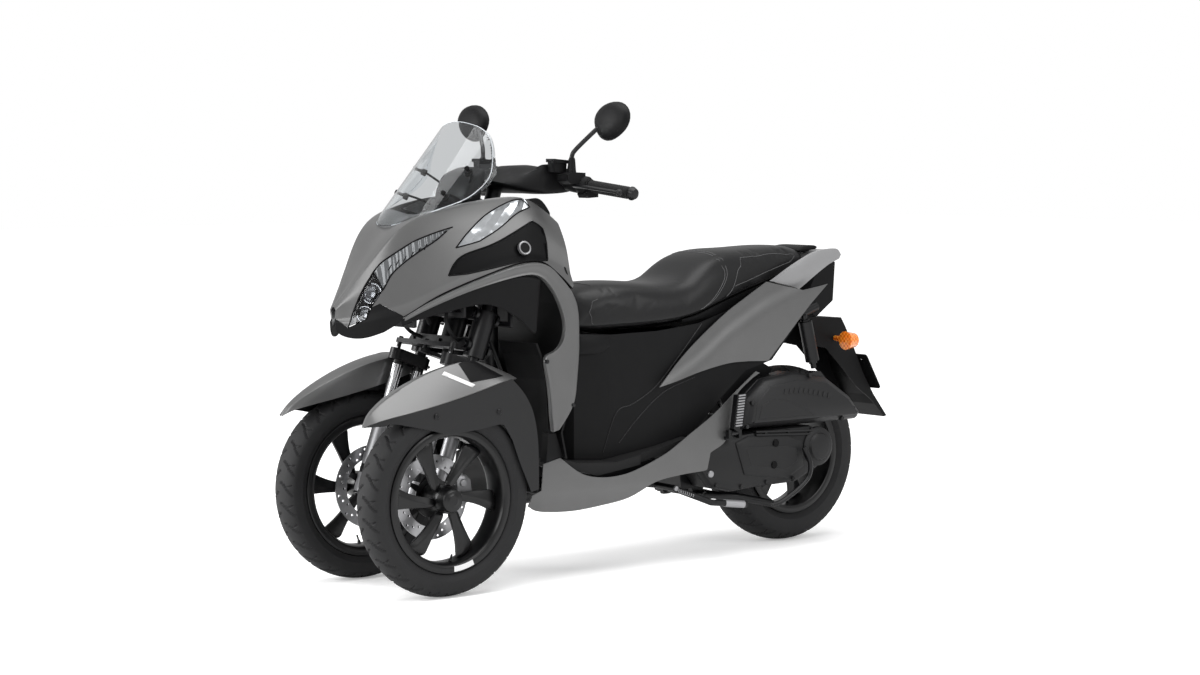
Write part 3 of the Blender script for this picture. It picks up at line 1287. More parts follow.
# %% Finished fenders
for side_name, side in SIDES:
    body = f"fork_{side_name}"
    top = loft(bmesh.new(), [fender_row(*row, side) for row in FENDER_ROWS], closed=False,
               creases={2: 0.6, 4: 0.85, 6: 0.8})
    shell = finish_piece(f"fender_shell_{side_name}", top, "grey_panel", body, [f"fender_{side_name}"],
                         levels=2, wall=2.4)
    blank = loft(bmesh.new(), [skirt_row(x, side) for x in range(1000, 459, -20)], closed=False)
    skirt = finish_piece(f"fender_blade_{side_name}", blank, "black_plastic", body, levels=1, wall=2.8)
    outline = SKIRT_HIGH[:-1] + SKIRT_LOW[:-1] + SKIRT_TAIL + SKIRT_BACK[:-1]
    boolean(skirt, prism(bmesh.new(), outline, *sorted((side * 180, side * 260))), "INTERSECT")
    dress(skirt, "black_plastic", body, paint="cleaner_black")
    smooth_by_angle(skirt, 38)
    guard = fender_guard(side)
    finish_piece(f"fender_guard_{side_name}", guard, "black_plastic", body, [f"fender_skirt_{side_name}"])
    screws = bmesh.new()
    for x in (800, 604):
        turned(screws, [(0, 3), (5.5, 3), (7, 1.5), (7, -1)], (x, side * 249, 470), (0, side, 0), 16)
    finish_piece(f"fender_screws_{side_name}", screws, "frame_black", body)
    for mark, outline, paint in MARKS:
        tag = copy_piece(shell, f"fender_{mark}_{side_name}")
        for vertex in tag.data.vertices:
            vertex.co += Vector((0, side * 0.5, 0.6)) * MM
        boolean(tag, prism(bmesh.new(), outline, *sorted((side * 187, side * 262))), "INTERSECT")
        dress(tag, "grey_panel", body, paint=paint)
tell("front fenders")

# %% [markdown]
# ## Handlebar
# A faceted cover hides the middle of the bar. Outboard of it sit the perches, switch housings, grips and
# mirrors.

# %% Handlebar cover
COVER_ROWS = (  # y, then (x, z) round the section from the lower front
    (0, (472, 1046), (478, 1060), (438, 1088), (395, 1099), (330, 1101),
     (268, 1093), (244, 1060), (257, 1032), (304, 1023), (404, 1025)),
    (40, (472, 1046), (477, 1060), (438, 1087), (395, 1097), (330, 1099),
     (268, 1091), (244, 1060), (257, 1032), (304, 1023), (404, 1025)),
    (70, (462, 1042), (466, 1054), (434, 1075), (394, 1083), (332, 1087),
     (270, 1085), (246, 1058), (258, 1032), (304, 1023), (402, 1025)),
    (96, (446, 1038), (446, 1050), (424, 1068), (392, 1076), (334, 1082),
     (272, 1082), (249, 1056), (259, 1033), (304, 1023), (396, 1024)),
    (122, (420, 1034), (418, 1050), (405, 1076), (388, 1094), (346, 1097),
     (274, 1086), (252, 1055), (260, 1034), (304, 1024), (384, 1023)),
    (143, (392, 1034), (390, 1052), (388, 1080), (380, 1104), (352, 1105),
     (276, 1090), (255, 1055), (262, 1036), (304, 1025), (370, 1024)),
    (149, (384, 1036), (383, 1052), (381, 1080), (374, 1100), (350, 1101),
     (278, 1086), (258, 1055), (264, 1038), (304, 1028), (366, 1027)),
)


def half_shell(rows, creases):
    """Closed sections from the middle plane outward, capped at the outer end, then mirrored."""
    bm = loft(bmesh.new(), [[(x, y, z) for x, z in row] for y, *row in rows], creases=creases)
    outer = rows[-1][0] * MM
    bmesh.ops.contextual_create(bm, geom=[v for v in bm.verts if abs(v.co.y - outer) < 1e-6])
    return mirrored(bm)


COVER_CREASES = {1: 0.5, 2: 0.75, 3: 0.8, 4: 0.6, 6: 0.5, 7: 0.4, 9: 0.5}
finish_piece("handlebar_cover_shell", half_shell(COVER_ROWS, COVER_CREASES), "black_plastic", "handlebar",
             ["handlebar_cover"], levels=2)
tell("handlebar cover")

# %% [markdown]
# Everything on the bar's ends is turned about the bar's own axis: switch housing, ribbed grip and end
# weight. The perches and the brake reservoir are small blocks clamped on beside them.

# %% Switch housings, perches, reservoirs and grips
BAR_INNER, BAR_OUTER = Vector((301, 170, 1053)), Vector((250, 374, 1025))
SWITCH_HOUSING = [(0, -18), (19, -18), (22, -15), (23.5, 0), (24, 22), (23, 24), (23, 26), (24, 28), (24, 50),
                  (20, 56), (0, 56)]
RESERVOIR = [(0, 38), (7, 38), (9, 33), (12, 4), (13, 0), (13, -4)]
END_WEIGHT = [(11, 190), (15, 191), (18.2, 195), (18.2, 199), (13, 209), (0, 210)]
controls, rubbers, metals = bmesh.new(), bmesh.new(), bmesh.new()
for side in (1, -1):
    start = Vector((BAR_INNER.x, side * BAR_INNER.y, BAR_INNER.z))
    axis = (Vector((BAR_OUTER.x, side * BAR_OUTER.y, BAR_OUTER.z)) - start).normalized()
    turned(controls, SWITCH_HOUSING, start, axis, 40)
    turned(controls, [(0, 3), (4.5, 3), (4.5, 0)], start + Vector((16, side * 6, 14)), (0.8, 0, 0.7), 16)
    block = [(292, 1052), (340, 1050), (350, 1058), (352, 1076), (336, 1082), (292, 1080)]
    prism(controls, block, *sorted((side * 168, side * 214)))
    prism(controls, [(330, 1080), (368, 1082), (370, 1108), (328, 1104)], *sorted((side * 152, side * 180)))
    prism(controls, [(324, 1104), (373, 1108), (373, 1117), (324, 1113)], *sorted((side * 148, side * 184)))
    low_block = [(268, 1016), (300, 1014), (306, 1024), (300, 1036), (268, 1036)]
    prism(controls, low_block, *sorted((side * 196, side * 238)))
    turned(controls, RESERVOIR, (325, side * 196, 1082), (0, side * 0.05, 1), 24)
    ribs = [(16.6 if k % 2 else 15.4, 60 + k * 3) for k in range(43)]
    turned(rubbers, [(11.6, 57), (19, 57), (19, 60)] + ribs + [(11.6, 189)], start, axis, 32)
    turned(metals, END_WEIGHT, start, axis, 32)
finish_piece("switch_housings", controls, "black_plastic", "handlebar")
finish_piece("grip_rubbers", rubbers, "rubber", "handlebar", ["grips"])
finish_piece("bar_end_weights", metals, "frame_black", "handlebar")
tell("bar ends")

# %% [markdown]
# A lever is a flat blade that narrows outward and ends in a ball, so that a hand can't slip off. Ten
# points round an ellipse at each station make its section.

# %% Brake levers
LEVER_ROWS = (  # y, x, z, half depth, half height
    (200, 317, 1046, 9, 6), (225, 322, 1045, 8, 5.5), (255, 325, 1043, 7, 5),
    (300, 319, 1038, 6.5, 4.6), (345, 308, 1032.5, 6, 4.6), (362, 304, 1030, 5, 4.4),
)
levers = bmesh.new()
for side in (1, -1):
    rows = [[(x + a * math.cos(t), side * y, z + b * math.sin(t))
             for t in (math.tau * k / 10 for k in range(10))]
            for y, x, z, a, b in LEVER_ROWS]
    loft(levers, rows, caps=True)
    turned(levers, [(9 * math.sin(t), -9 * math.cos(t)) for t in (math.pi * k / 10 for k in range(11))],
           (303, side * 366, 1029.5), (0, side, 0), 20)
finish_piece("lever_blades", levers, "frame_black", "handlebar", ["levers"])
tell("levers")

# %% [markdown]
# Each mirror is a shallow bowl behind a teardrop of glass. One formula gives the outline, and smaller
# copies of it, moved forward, close the bowl.

# %% Mirrors
MIRROR_HEAD = (272, 305, 1218)
MIRROR_HALF_WIDTH, MIRROR_HALF_HEIGHT, MIRROR_LEAN = 68, 50.5, 0.12
MIRROR_BOWL = ((0.93, -1), (1.0, -1), (1.0, 5), (0.95, 13), (0.82, 20), (0.58, 25), (0.25, 27.5), (0.03, 28))
MIRROR_STEM = ((325, 196, 1112), (325, 197, 1128), (318, 206, 1142), (305, 232, 1168), (291, 262, 1196),
               (288, 274, 1204))
MIRROR_GLASS = ((0.93, -1.4), (0.92, -2.2), (0.05, -2.3))  # share of the outline, distance forward


def mirror_ring(scale, forward, side):
    """Teardrop outline of the mirror head: full outside, drawn in at the inner lower corner."""
    ring = []
    for t in (math.tau * k / 28 for k in range(28)):
        pull = 1 - 0.16 * max(0.0, -math.sin(t + 0.5)) ** 2
        y = MIRROR_HALF_WIDTH * scale * math.cos(t) * pull
        z = (MIRROR_HALF_HEIGHT * scale * math.sin(t) + 5 * math.cos(t) * scale) * (2 - pull) * 0.94
        lean = forward - MIRROR_LEAN * z
        ring.append((MIRROR_HEAD[0] + lean, side * (MIRROR_HEAD[1] + y), MIRROR_HEAD[2] + z))
    return ring


heads, glasses, stems = bmesh.new(), bmesh.new(), []
for side in (1, -1):
    loft(heads, [mirror_ring(scale, forward, side) for scale, forward in MIRROR_BOWL], caps=True)
    loft(glasses, [mirror_ring(scale, forward, side) for scale, forward in MIRROR_GLASS], caps=True)
    stems.append([(x, side * y, z) for x, y, z in MIRROR_STEM])
finish_piece("mirror_housings", heads, "black_plastic", "handlebar", ["mirrors"])
finish_piece("mirror_glasses", glasses, "chrome", "handlebar")
tube("mirror_stems", stems, 6, "frame_black", "handlebar")
tell("mirrors")

# %% [markdown]
# ## Seat
# The cushion is blown up a little by a cloth simulation, so that its cover looks stretched over foam. The
# sewn seams and the piping are laid on the swollen surface afterwards.

# %% Sections of the cushion
SEAT_ROWS = (  # x, half width low, half width at the shoulder, height low, height of the crown
    (257, 58, 48, 672, 700), (248, 84, 70, 662, 728), (232, 100, 86, 657, 749), (196, 115, 99, 654, 769),
    (140, 129, 112, 654, 776), (80, 137, 121, 655, 778), (10, 143, 127, 657, 775), (-60, 147, 131, 661, 769),
    (-110, 147, 131, 667, 772), (-150, 147, 131, 674, 781), (-185, 146, 130, 684, 804),
    (-215, 145, 127, 694, 826), (-250, 143, 122, 705, 844), (-290, 139, 117, 716, 854),
    (-330, 135, 114, 727, 857), (-390, 129, 111, 744, 857), (-455, 121, 104, 760, 860),
    (-520, 111, 95, 776, 863), (-580, 97, 82, 790, 861), (-620, 85, 71, 802, 857), (-640, 68, 56, 810, 850),
    (-650, 50, 40, 820, 841),
)
SEAT_PRESSURE, SEAT_VOXEL, SEAT_SWELL = 4.0, 6.0, 5.0


def seat_ring(x, low_half, top_half, low, top):
    """Section of the cushion: flat base, tucked sides, soft shoulder and crowned top."""
    rise = top - low
    half = [(0, low), (low_half * 0.6, low), (low_half - 6, low + 1), (low_half - 2, low + rise * 0.12),
            (low_half - 1, low + rise * 0.45), (top_half + 2, top - rise * 0.24),
            (top_half * 0.86, top - rise * 0.08), (top_half * 0.5, top - rise * 0.01), (0, top)]
    return [(x, y, z) for y, z in half] + [(x, -y, z) for y, z in half[-2:0:-1]]


# %% [markdown]
# An even net of small faces stretches evenly, so the cushion is remeshed first. A short run of Cloth with
# air pressure then rounds it, and every point is held within a few millimetres of the foam's drawn shape.

# %% Blow up the cushion
def swell(piece, frames=20):
    """Remesh a cushion, blow it up with Cloth, and keep every point within SEAT_SWELL of its start."""
    mesher = piece.modifiers.new("even_mesh", "REMESH")
    mesher.mode, mesher.voxel_size = "VOXEL", SEAT_VOXEL * MM
    bake(piece)
    start = [vertex.co.copy() for vertex in piece.data.vertices]
    cloth = piece.modifiers.new("cover", "CLOTH")
    cloth.settings.use_pressure = True
    cloth.settings.uniform_pressure_force = SEAT_PRESSURE
    cloth.settings.effector_weights.gravity = 0
    cloth.point_cache.frame_end = frames
    scene = bpy.context.scene
    for number in range(1, frames + 1):
        scene.frame_set(number)
    bake(piece)
    scene.frame_set(1)
    for vertex, old in zip(piece.data.vertices, start):
        move = vertex.co - old
        if move.length > SEAT_SWELL * MM:
            vertex.co = old + move.normalized() * SEAT_SWELL * MM
    finer = piece.modifiers.new("finer", "SUBSURF")
    finer.levels = finer.render_levels = 1
    bake(piece)


# %% Finished cushion
foam = loft(bmesh.new(), [seat_ring(*row) for row in SEAT_ROWS], caps=True)
cushion = finish_piece("seat_cushion", foam, "seat", "seat", levels=2)
swell(cushion)
dress(cushion, "seat", "seat", ["seat"])
smooth_by_angle(cushion, 60)
tell("seat cushion")

# %% [markdown]
# A moulded pan under the rear half carries the cushion and closes the gap above the rear covers. It
# follows the cushion's lower edge and only its depth is given.

# %% Seat pan
PAN_DROPS = (2, 6, 12, 20, 28, 34, 36, 34, 30, 20, 8)
pan_rows = []
for (x, low_half, _, low, _), drop in zip(SEAT_ROWS[8:19], PAN_DROPS):
    half = [(low_half - 5, low + 6), (low_half - 12, low - drop)]
    pan_rows.append([(x, y, z) for y, z in half] + [(x, -y, z) for y, z in half[::-1]])
finish_piece("seat_pan", loft(bmesh.new(), pan_rows, caps=True), "black_plastic", "seat")
tell("seat pan")

# %% [markdown]
# The cover is sewn from panels. Each seam is drawn as a side view, then every point is moved to the
# nearest place on the swollen cushion, so thread and piping lie on the surface.

# %% Seams on the cushion
SEAMS = (  # side views of the sewn lines, from the base edge upward
    flow([(205, 656), (212, 690), (216, 725), (214, 752), (207, 768), (186, 772)]),
    flow([(-184, 684), (-230, 725), (-262, 765), (-278, 800), (-276, 830), (-258, 846)]),
    flow([(-192, 684), (-239, 725), (-271, 765), (-288, 800), (-287, 832), (-270, 850)]),
    flow([(-287, 717), (-312, 755), (-326, 792), (-338, 820), (-362, 838), (-420, 846), (-520, 852),
          (-596, 850)]),
    flow([(-318, 758), (-400, 780), (-500, 812), (-596, 838)]),
)
CROSS_SEAMS = (190, -252, -266)  # stations where a seam runs over the top
TOP_EDGE = 835  # height above which a seam lies on the cushion's top
cushion_tree = BVHTree.FromPolygons([v.co for v in cushion.data.vertices],
                                    [p.vertices for p in cushion.data.polygons])


def on_cushion(x, y, z):
    """Nearest point of the cushion to a point in mm."""
    place, normal, _, _ = cushion_tree.find_nearest(Vector((x, y, z)) * MM)
    return (place + normal * 0.2 * MM) / MM


threads = []
for line in SEAMS:
    for side in (1, -1):
        threads.append([on_cushion(x, side * 175, z) if z < TOP_EDGE else on_cushion(x, side * 130, z + 20)
                        for x, z in line])
for station in CROSS_SEAMS:
    threads.append([on_cushion(station, y, 900) for y in range(-110, 111, 10)])
tube("seat_seams", threads, 0.9, "seat", "seat", paint="seam_thread")
piping = [[on_cushion(x, side * (half + 10), low + 4) for x, half, _, low, _ in SEAT_ROWS]
          for side in (1, -1)]
tube("seat_piping", piping, 2.0, "black_plastic", "seat", paint="deep_black")
tell("seams")

# %% [markdown]
# ## Rear body
# The tail covers are skins as well: a gently creased surface on each side, trimmed to its side view.

# %% Rear side covers
REAR_COVER = (flow([(-8, 492), (-116, 590), (-245, 681), (-330, 728), (-408, 769)])
              + flow([(-544, 741), (-600, 749), (-641, 756)])
              + flow([(-572, 697), (-475, 601), (-417, 544)])
              + flow([(-340, 547), (-260, 545), (-153, 527), (-70, 506)]))
REAR_COVER_OUT = 167  # how far the crease stands from the middle plane
REAR_CREASE = [(0, 470), (-150, 545), (-260, 620), (-400, 690), (-560, 745), (-660, 770)]


def rear_skin_row(x, side):
    """Column of the rear cover: fullest along the crease, with a shallow hollow above it."""
    crease = between(REAR_CREASE, x)
    row = []
    for z in range(440, 831, 15):
        fall = 0.085 * (z - crease) if z > crease else 0.06 * (crease - z)
        hollow = 4.5 * math.exp(-((z - crease - 38) / 22) ** 2)
        row.append((x, side * (REAR_COVER_OUT - min(fall, 16) - hollow), z))
    return row


def trimmed(name, rows, outline, slot, body, reach, wall=3.0, levels=1, replaces=()):
    """Panel: a skin with a wall, cut to its side view."""
    skin = loft(bmesh.new(), rows, closed=False)
    piece = finish_piece(name, skin, slot, body, levels=levels, wall=wall)
    boolean(piece, prism(bmesh.new(), outline, *sorted(reach)), "INTERSECT")
    dress(piece, slot, body, replaces)
    smooth_by_angle(piece, 38)


for side_name, side in SIDES:
    rows = [rear_skin_row(x, side) for x in range(20, -681, -20)]
    trimmed(f"rear_cover_skin_{side_name}", rows, REAR_COVER, "grey_panel", "chassis",
            (side * 120, side * 200), replaces=["rear_side_covers"] if side > 0 else ())
tell("rear side covers")

# %% [markdown]
# The grab rail is a casting that runs back along both sides of the seat and closes behind it. Its sides
# are thick skins cut to their side view, and a lofted bridge joins them under a small pad.

# %% Grab rail
RAIL_OUT = (flow([(-440, 769), (-525, 812), (-612, 847), (-680, 856), (-704, 853), (-718, 838)])
            + flow([(-712, 826), (-660, 806), (-577, 754), (-560, 742)]))
RAIL_MIDDLE = [(-440, 768), (-525, 785), (-612, 818), (-720, 843)]
BRIDGE_SIDE = ((-660, 850), (-700, 853), (-716, 838), (-708, 828), (-668, 826))
PAD_SIDE = ((-610, 840), (-625, 862), (-690, 866), (-704, 858), (-690, 848))


def rail_row(x, side):
    """Column of the rail at x, fullest along its middle line."""
    middle = between(RAIL_MIDDLE, x)
    return [(x, side * (149 - 0.004 * (z - middle - 6) ** 2 - max(0, -x - 560) * 0.05), z)
            for z in range(725, 876, 8)]


for side_name, side in SIDES:
    rows = [rail_row(x, side) for x in range(-425, -731, -12)]
    trimmed(f"grab_rail_{side_name}", rows, RAIL_OUT, "rail_grey", "chassis",
            (side * 100, side * 170), wall=13, replaces=["grab_rail"] if side > 0 else ())
bridge_rows = [[(x, y, z) for x, z in BRIDGE_SIDE] for y in (-136, -120, 0, 120, 136)]
bridge = loft(bmesh.new(), bridge_rows, caps=True, creases={0: 0.5, 1: 0.5, 3: 0.5, 4: 0.5})
finish_piece("grab_rail_bridge", bridge, "rail_grey", "chassis", levels=2)
pad = loft(bmesh.new(), [[(x, y, z) for x, z in PAD_SIDE] for y in (-66, -56, 0, 56, 66)], caps=True)
finish_piece("tail_pad", pad, "black_plastic", "chassis", levels=2)
tell("grab rail")

# %% [markdown]
# The floor's side covers sweep from the leg shields down under the feet and up to the seat. Below the
# widest line they tuck in quickly, above it slowly. Small flanges close the corner behind them.

# %% Floor side covers
FLOOR_LOW = flow([(457, 205), (419, 188), (318, 181), (215, 189), (128, 203), (40, 240), (-60, 252),
                  (-141, 256), (-152, 264)])
FLOOR_BACK = (flow([(-163, 304), (-222, 334), (-250, 400), (-270, 457), (-330, 498), (-365, 514)])
              + [(-350, 519)])
FLOOR_HIGH = flow([(-271, 470), (-180, 410), (-87, 361), (0, 316), (92, 283), (160, 268), (232, 267),
                   (300, 283), (367, 329)])
FLOOR_NOSE = [(420, 316), (426, 246), (450, 234)]
FLOOR_COVER = FLOOR_LOW + FLOOR_BACK + FLOOR_HIGH + FLOOR_NOSE
FLOOR_WIDEST = 244
FLOOR_FLANGE = [(10, 244), (120, 222), (220, 205), (250, 282), (140, 285), (20, 300)]
FLOOR_PLAN = [(470, 180), (457, 187), (420, 198), (300, 206), (0, 206), (-160, 200), (-380, 192)]


def floor_row(x, side):
    """Column of the cover at x: tucked in below its widest line, leaning in slowly above it."""
    row = []
    for z in range(165, 546, 10):
        tuck = 0.0055 * max(0, FLOOR_WIDEST - z) ** 2
        out = between(FLOOR_PLAN, x) - min(tuck, 30) - 0.00018 * max(0, z - FLOOR_WIDEST) ** 2
        row.append((x, side * out, z))
    return row


for side_name, side in SIDES:
    rows = [floor_row(x, side) for x in range(480, -401, -20)]
    trimmed(f"floor_skin_{side_name}", rows, FLOOR_COVER, "grey_panel", "chassis",
            (side * 150, side * 220), replaces=["floor_side_covers"] if side > 0 else ())

flanges = bmesh.new()
for side in (1, -1):
    prism(flanges, FLOOR_FLANGE, *sorted((side * 172, side * 178)))
finish_piece("floor_flanges", flanges, "black_plastic", "chassis", paint="deep_black")
tell("floor side covers")

# %% [markdown]
# The centre cover below the seat has two raised creases on each side, a ledge under the seat's nose and,
# further back, dark plates that hide what lies behind the covers.

# %% Creases, ledge and rear plates round the centre cover
CENTRE_CREASES = (  # side views, (x, z)
    [(-175, 659), (-97, 577), (-14, 493), (63, 449), (106, 438), (131, 405), (160, 322)],
    [(109, 345), (46, 409), (-43, 477), (-150, 512)],
)
CENTRE_PLAN = [(-540, 148.4), (-100, 146.4), (140, 128.4), (246, 106.4)]
SEAT_LEDGE = [(246, 646), (133, 641), (123, 605), (170, 590), (246, 592)]
REAR_PLATE = [(-240, 400), (-290, 480), (-340, 518), (-430, 540), (-480, 515), (-430, 470), (-330, 396)]
creases = []
for line in CENTRE_CREASES:
    for side in (1, -1):
        creases.append([(x, side * between(CENTRE_PLAN, x), z) for x, z in flow(line, 4)])
tube("centre_creases", creases, 1.6, "black_plastic", "chassis", paint="cleaner_black")
ledge = stepped(bmesh.new(), SEAT_LEDGE, ((-128, 8), (-122, 0), (122, 0), (128, 8)))
finish_piece("seat_ledge", ledge, "black_plastic", "chassis")
plates = bmesh.new()
for side in (1, -1):
    prism(plates, REAR_PLATE, *sorted((side * 104, side * 108)))
finish_piece("rear_plates", plates, "black_plastic", "chassis", paint="deep_black")
tell("centre details")

# %% [markdown]
# ## Swing unit
# Castings and mouldings of the drive side. Each is its side outline, stepped inward near the outer face
# so that the edge is chamfered, with ribs, bolts and covers laid on the face.

# %% Drive case
CASE_OUTLINE = [(-213, 335), (-188, 309), (-147, 258), (-199, 198), (-263, 184), (-396, 190), (-513, 192),
                (-592, 224), (-637, 249), (-660, 289), (-629, 328), (-571, 351), (-400, 350)]
CASE_STEPS = ((82, 2), (86, 0), (140, 0), (143, 2.5), (146, 0), (164, 0), (170, 3), (173, 9))  # y, inset
CLUTCH_COVER = [(0, 16), (30, 16), (36, 14), (40, 8), (50, 7), (56, 3), (57, -6)]
FACE_PANEL = [(-277, 321), (-311, 228), (-475, 204), (-540, 236), (-536, 310), (-474, 331), (-324, 337)]
CASE_BOLTS = ((-203, 322), (-163, 262), (-206, 207), (-300, 196), (-396, 201), (-500, 203), (-575, 228),
              (-571, 340), (-480, 340), (-392, 340))
BOLT_HEAD = [(0, 10), (4.5, 10), (5.5, 9), (5.5, 4), (9, 4), (9, -4)]
CASE_RIBS = (((-352, 350), (-610, 338)), ((-353, 341), (-590, 329)))

case = stepped(bmesh.new(), CASE_OUTLINE, CASE_STEPS)
turned(case, CLUTCH_COVER, (-597, 173, 289), (0, 1, 0), 48)
stepped(case, FACE_PANEL, ((170, 0), (176, 1), (180, 8)))
stepped(case, inset(FACE_PANEL, 26), ((178, 0), (181, 4)))
for x, z in CASE_BOLTS:
    turned(case, BOLT_HEAD, (x, 168, z), (0, 1, 0), 6)
for low, high in CASE_RIBS:
    prism(case, [low, high, (high[0], high[1] - 5), (low[0], low[1] - 5)], 160, 180)
finish_piece("drive_case_casting", case, "cast_grey", "chassis", ["transmission_case"], sharp=30)

plugs = bmesh.new()
for x, z in ((-426, 311), (-420, 249)):
    turned(plugs, [(0, 4), (9, 4), (11, 2), (11, -4)], (x, 181, z), (0, 1, 0), 24)
finish_piece("drive_case_plugs", plugs, "black_plastic", "chassis", paint="deep_black")
tell("drive case")

# %% [markdown]
# The air cleaner is a moulded box on top of the drive case. Its face steps out twice, and a row of small
# ribs follows the upper edge.

# %% Air cleaner
AIR_OUTLINE = [(-302, 356), (-327, 439), (-395, 491), (-510, 507), (-628, 492), (-729, 429), (-773, 379),
               (-759, 358), (-640, 356)]
AIR_STEPS = ((94, 3), (98, 0), (136, 0), (139, 3), (142, 0), (158, 0), (172, 7), (184, 22))  # y, inset
AIR_FACE = [(-338, 372), (-352, 432), (-402, 474), (-510, 488), (-622, 474), (-712, 420), (-744, 384),
            (-738, 372)]
AIR_FIELD = [(-352, 380), (-366, 424), (-410, 440), (-470, 432), (-560, 392), (-580, 380)]
AIR_EDGE = [(-730, 402), (-620, 452), (-520, 470), (-430, 470)]
AIR_SCREWS = ((-318, 364), (-338, 430), (-560, 497), (-735, 392), (-690, 364))

box = stepped(bmesh.new(), AIR_OUTLINE, AIR_STEPS)
stepped(box, AIR_FACE, ((180, 0), (184.5, 2), (186, 6)))
stepped(box, AIR_FIELD, ((184, 0), (187, 3)))
for k in range(10):
    x = -455 - k * 19
    z = between(AIR_EDGE, x) - 6
    prism(box, [(x, z), (x - 11, z - 2), (x - 7, z - 16), (x + 4, z - 14)], 184, 187.5)
for x, z in AIR_SCREWS:
    turned(box, [(0, 6), (5, 6), (6, 5), (6, -8)], (x, 176, z), (0, 1, 0), 12)
prism(box, [(-640, 480), (-560, 490), (-590, 506), (-616, 504)], 135, 165)
finish_piece("air_cleaner_box", box, "black_plastic", "chassis", ["air_cleaner"], sharp=30,
             paint="cleaner_black")
tell("air cleaner")

# %% [markdown]
# Each rear shock has a coil spring between two collars. A coil is a helix about the line from foot to
# top, worked out point by point and given the wire's thickness.

# %% Shock springs
SPRING_TURNS, TURN_STEPS, SPRING_RADIUS, SPRING_LENGTH = 8, 14, 16, 84
springs, shock_parts = [], bmesh.new()
for side in (1, -1):
    top, foot = Vector((-562, side * 150, 668)), Vector((-602, side * 150, 520))
    axis = (top - foot).normalized()
    across, ahead = axis.cross(Vector((0, 1, 0))).normalized(), Vector((0, 1, 0))
    run = []
    for k in range(SPRING_TURNS * TURN_STEPS + 1):
        turn = math.tau * k / TURN_STEPS
        climb = axis * (26 + SPRING_LENGTH * k / (SPRING_TURNS * TURN_STEPS))
        run.append(tuple(foot + climb + (across * math.cos(turn) + ahead * math.sin(turn)) * SPRING_RADIUS))
    springs.append(run)
    turned(shock_parts, [(0, 8), (12, 8), (12, 16), (19, 20), (19, 25), (0, 25)], foot, axis, 24)
    turned(shock_parts, [(0, 112), (19, 112), (19, 118), (13, 120), (13, 140), (0, 140)], foot, axis, 24)
tube("shock_springs", springs, 3.6, "frame_black", "chassis")
finish_piece("shock_collars", shock_parts, "frame_black", "chassis")
tell("shock springs")

# %% [markdown]
# What glints low down on the drive side is bare metal: the teeth of the folded pegs, the sleeve of the
# side stand, its spring and two pivot bolts. They are small, so each is as plain as it can be.

# %% Small bright parts of the drive side
for side_name, side in SIDES:
    teeth = bmesh.new()
    for k in range(12):
        x, z = -231 - k * 1.1, 374 + k * 7.6
        prism(teeth, [(x - 24, z + 1), (x, z), (x, z + 4), (x - 24, z + 5)],
              *sorted((side * 222, side * 228)))
    finish_piece(f"peg_teeth_{side_name}", teeth, "steel", f"peg_{side_name}", paint="cast_silver")
tube("stand_sleeve", [[(-225, 188, 157), (-290, 195.5, 149)]], 11, "steel", "side_stand", paint="cast_silver")
LEVER_RUN = [(-527, 190, 292), (-542, 200, 252), (-539, 200, 211), (-500, 200, 178), (-440, 196, 146),
             (-404, 190, 137)]
tube("stand_lever", [flow(LEVER_RUN, 4)], 7, "frame_black", "chassis")
fittings = bmesh.new()
turned(fittings, [(0, 10), (8, 10), (10, 8), (10, -6)], (-186, 168, 240), (0, 1, 0), 16)
turned(fittings, [(0, 6), (6, 6), (7, 5), (7, -6)], (-60, 170, 210), (0, 1, 0), 16)
finish_piece("stand_bolts", fittings, "steel", "chassis", paint="cast_silver")
spring_run = []
for k in range(100):
    spring_run.append((-66 - k * 1.05, 176 + 5 * math.cos(k * 0.9), 204 - k * 0.36 + 5 * math.sin(k * 0.9)))
tube("stand_spring", [spring_run], 1.3, "steel", "side_stand", paint="cast_silver")
tell("small parts")

# %% [markdown]
# Brake hoses and looms hang between the arms of the front linkage. Their routes are chosen by hand, a few
# points each, and smoothed.

# %% Hoses in the front linkage
HOSE_RUNS = (
    ((598, 60, 760), (640, 84, 745), (664, 100, 700), (640, 96, 660), (600, 76, 640)),
    ((560, 40, 780), (620, 62, 800), (690, 74, 770), (706, 70, 720), (680, 50, 690)),
    ((520, 96, 640), (500, 120, 560), (470, 128, 480), (440, 120, 420)),
)
hoses = []
for side in (1, -1):
    for run in HOSE_RUNS:
        hoses.append(flow([(x, side * y, z) for x, y, z in run], 3))
tube("front_hoses", hoses, 5, "rubber", "chassis")
tell("hoses")

# %% [markdown]
# ## Studio
# A pale floor, a white surround and four broad lamps. The floor keeps the shadow. The surround is white
# to the camera alone; what it adds to the object, in light and in reflections, is only as strong as the
# studio's fill.

# %% Studio
FLOOR_HALF = 30.0
FILL_STRENGTH = 0.62
GLOW_NEAR, GLOW_FAR = (1.3, 0.28), (5.0, 0.62)  # distance in metres, strength


def make_world():
    """Surround: white where the camera sees it, and the fill's strength for everything else."""
    world = bpy.data.worlds.new("studio_surround")
    bpy.context.scene.world = world
    world.use_nodes = True
    tree = world.node_tree
    seen = add_node(tree, "ShaderNodeLightPath", {})
    fill = tree.nodes["Background"]
    fill.inputs["Color"].default_value = (1, 1, 1, 1)
    fill.inputs["Strength"].default_value = FILL_STRENGTH
    white = add_node(tree, "ShaderNodeBackground", {"Color": (1, 1, 1, 1), "Strength": 1.0})
    mix = add_node(tree, "ShaderNodeMixShader",
                   {0: seen.outputs["Is Camera Ray"], 1: fill.outputs[0], 2: white.outputs[0]})
    tree.links.new(mix.outputs[0], tree.nodes["World Output"].inputs["Surface"])


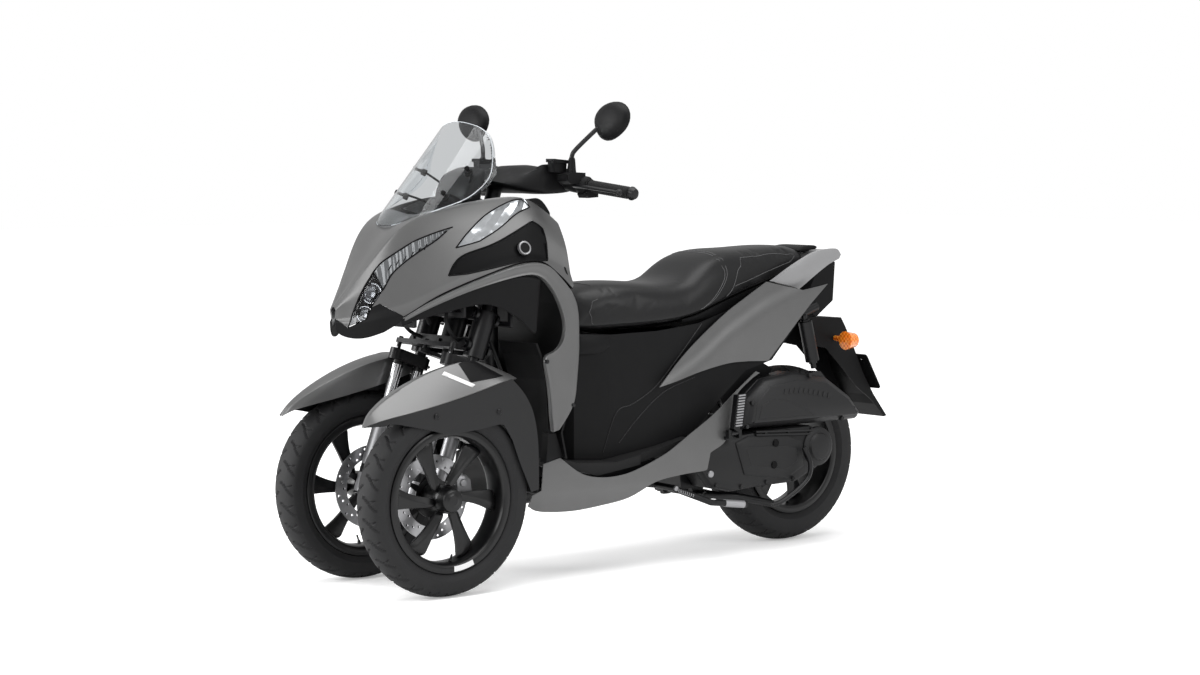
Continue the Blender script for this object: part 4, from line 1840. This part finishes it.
def make_floor():
    """Floor whose glow to the camera grows with distance, so that it meets the surround without a line."""
    bm = bmesh.new()
    bmesh.ops.create_grid(bm, x_segments=1, y_segments=1, size=FLOOR_HALF)
    mesh = bpy.data.meshes.new("studio_floor")
    bm.to_mesh(mesh)
    bm.free()
    floor = bpy.data.objects.new("studio_floor", mesh)
    bpy.context.scene.collection.objects.link(floor)
    made, tree, shader = new_material("pale_floor", "#F7F7F7", 0.9)
    seen = add_node(tree, "ShaderNodeLightPath", {})
    place = add_node(tree, "ShaderNodeNewGeometry", {})
    away = add_node(tree, "ShaderNodeVectorMath", {0: place.outputs["Position"]}, operation="LENGTH")
    fade = add_node(tree, "ShaderNodeMapRange",
                    {"Value": away.outputs["Value"], "From Min": GLOW_NEAR[0], "From Max": GLOW_FAR[0],
                     "To Min": GLOW_NEAR[1], "To Max": GLOW_FAR[1]})
    glow = add_node(tree, "ShaderNodeEmission", {"Color": (1, 1, 1, 1), "Strength": fade.outputs["Result"]})
    lit = add_node(tree, "ShaderNodeAddShader", {0: shader.outputs[0], 1: glow.outputs[0]})
    mix = add_node(tree, "ShaderNodeMixShader",
                   {0: seen.outputs["Is Camera Ray"], 1: shader.outputs[0], 2: lit.outputs[0]})
    tree.links.new(mix.outputs[0], tree.nodes["Material Output"].inputs["Surface"])
    mesh.materials.append(made)


def make_lamp(name, place, target, size, power):
    """Rectangular lamp of size in metres and power in watts, aimed at target."""
    light = bpy.data.lights.new(name, "AREA")
    light.shape = "RECTANGLE"
    light.size, light.size_y = size
    light.energy = power
    lamp = bpy.data.objects.new(name, light)
    lamp.location = place
    lamp.rotation_euler = (Vector(target) - Vector(place)).to_track_quat("-Z", "Y").to_euler()
    bpy.context.scene.collection.objects.link(lamp)


make_world()
make_floor()
make_lamp("top_softbox", (0.3, 0.4, 4.0), (0, 0, 0.4), (4.0, 3.0), 150)
make_lamp("front_softbox", (4.2, 1.2, 2.2), (0.3, 0, 0.6), (2.0, 2.4), 70)
make_lamp("rim_softbox", (3.6, -2.4, 1.4), (0.8, 0, 0.6), (1.4, 2.6), 130)
make_lamp("side_softbox", (-1.5, 4.5, 2.6), (-0.2, 0, 0.6), (2.6, 2.0), 70)
bpy.context.scene.view_settings.view_transform = "Standard"
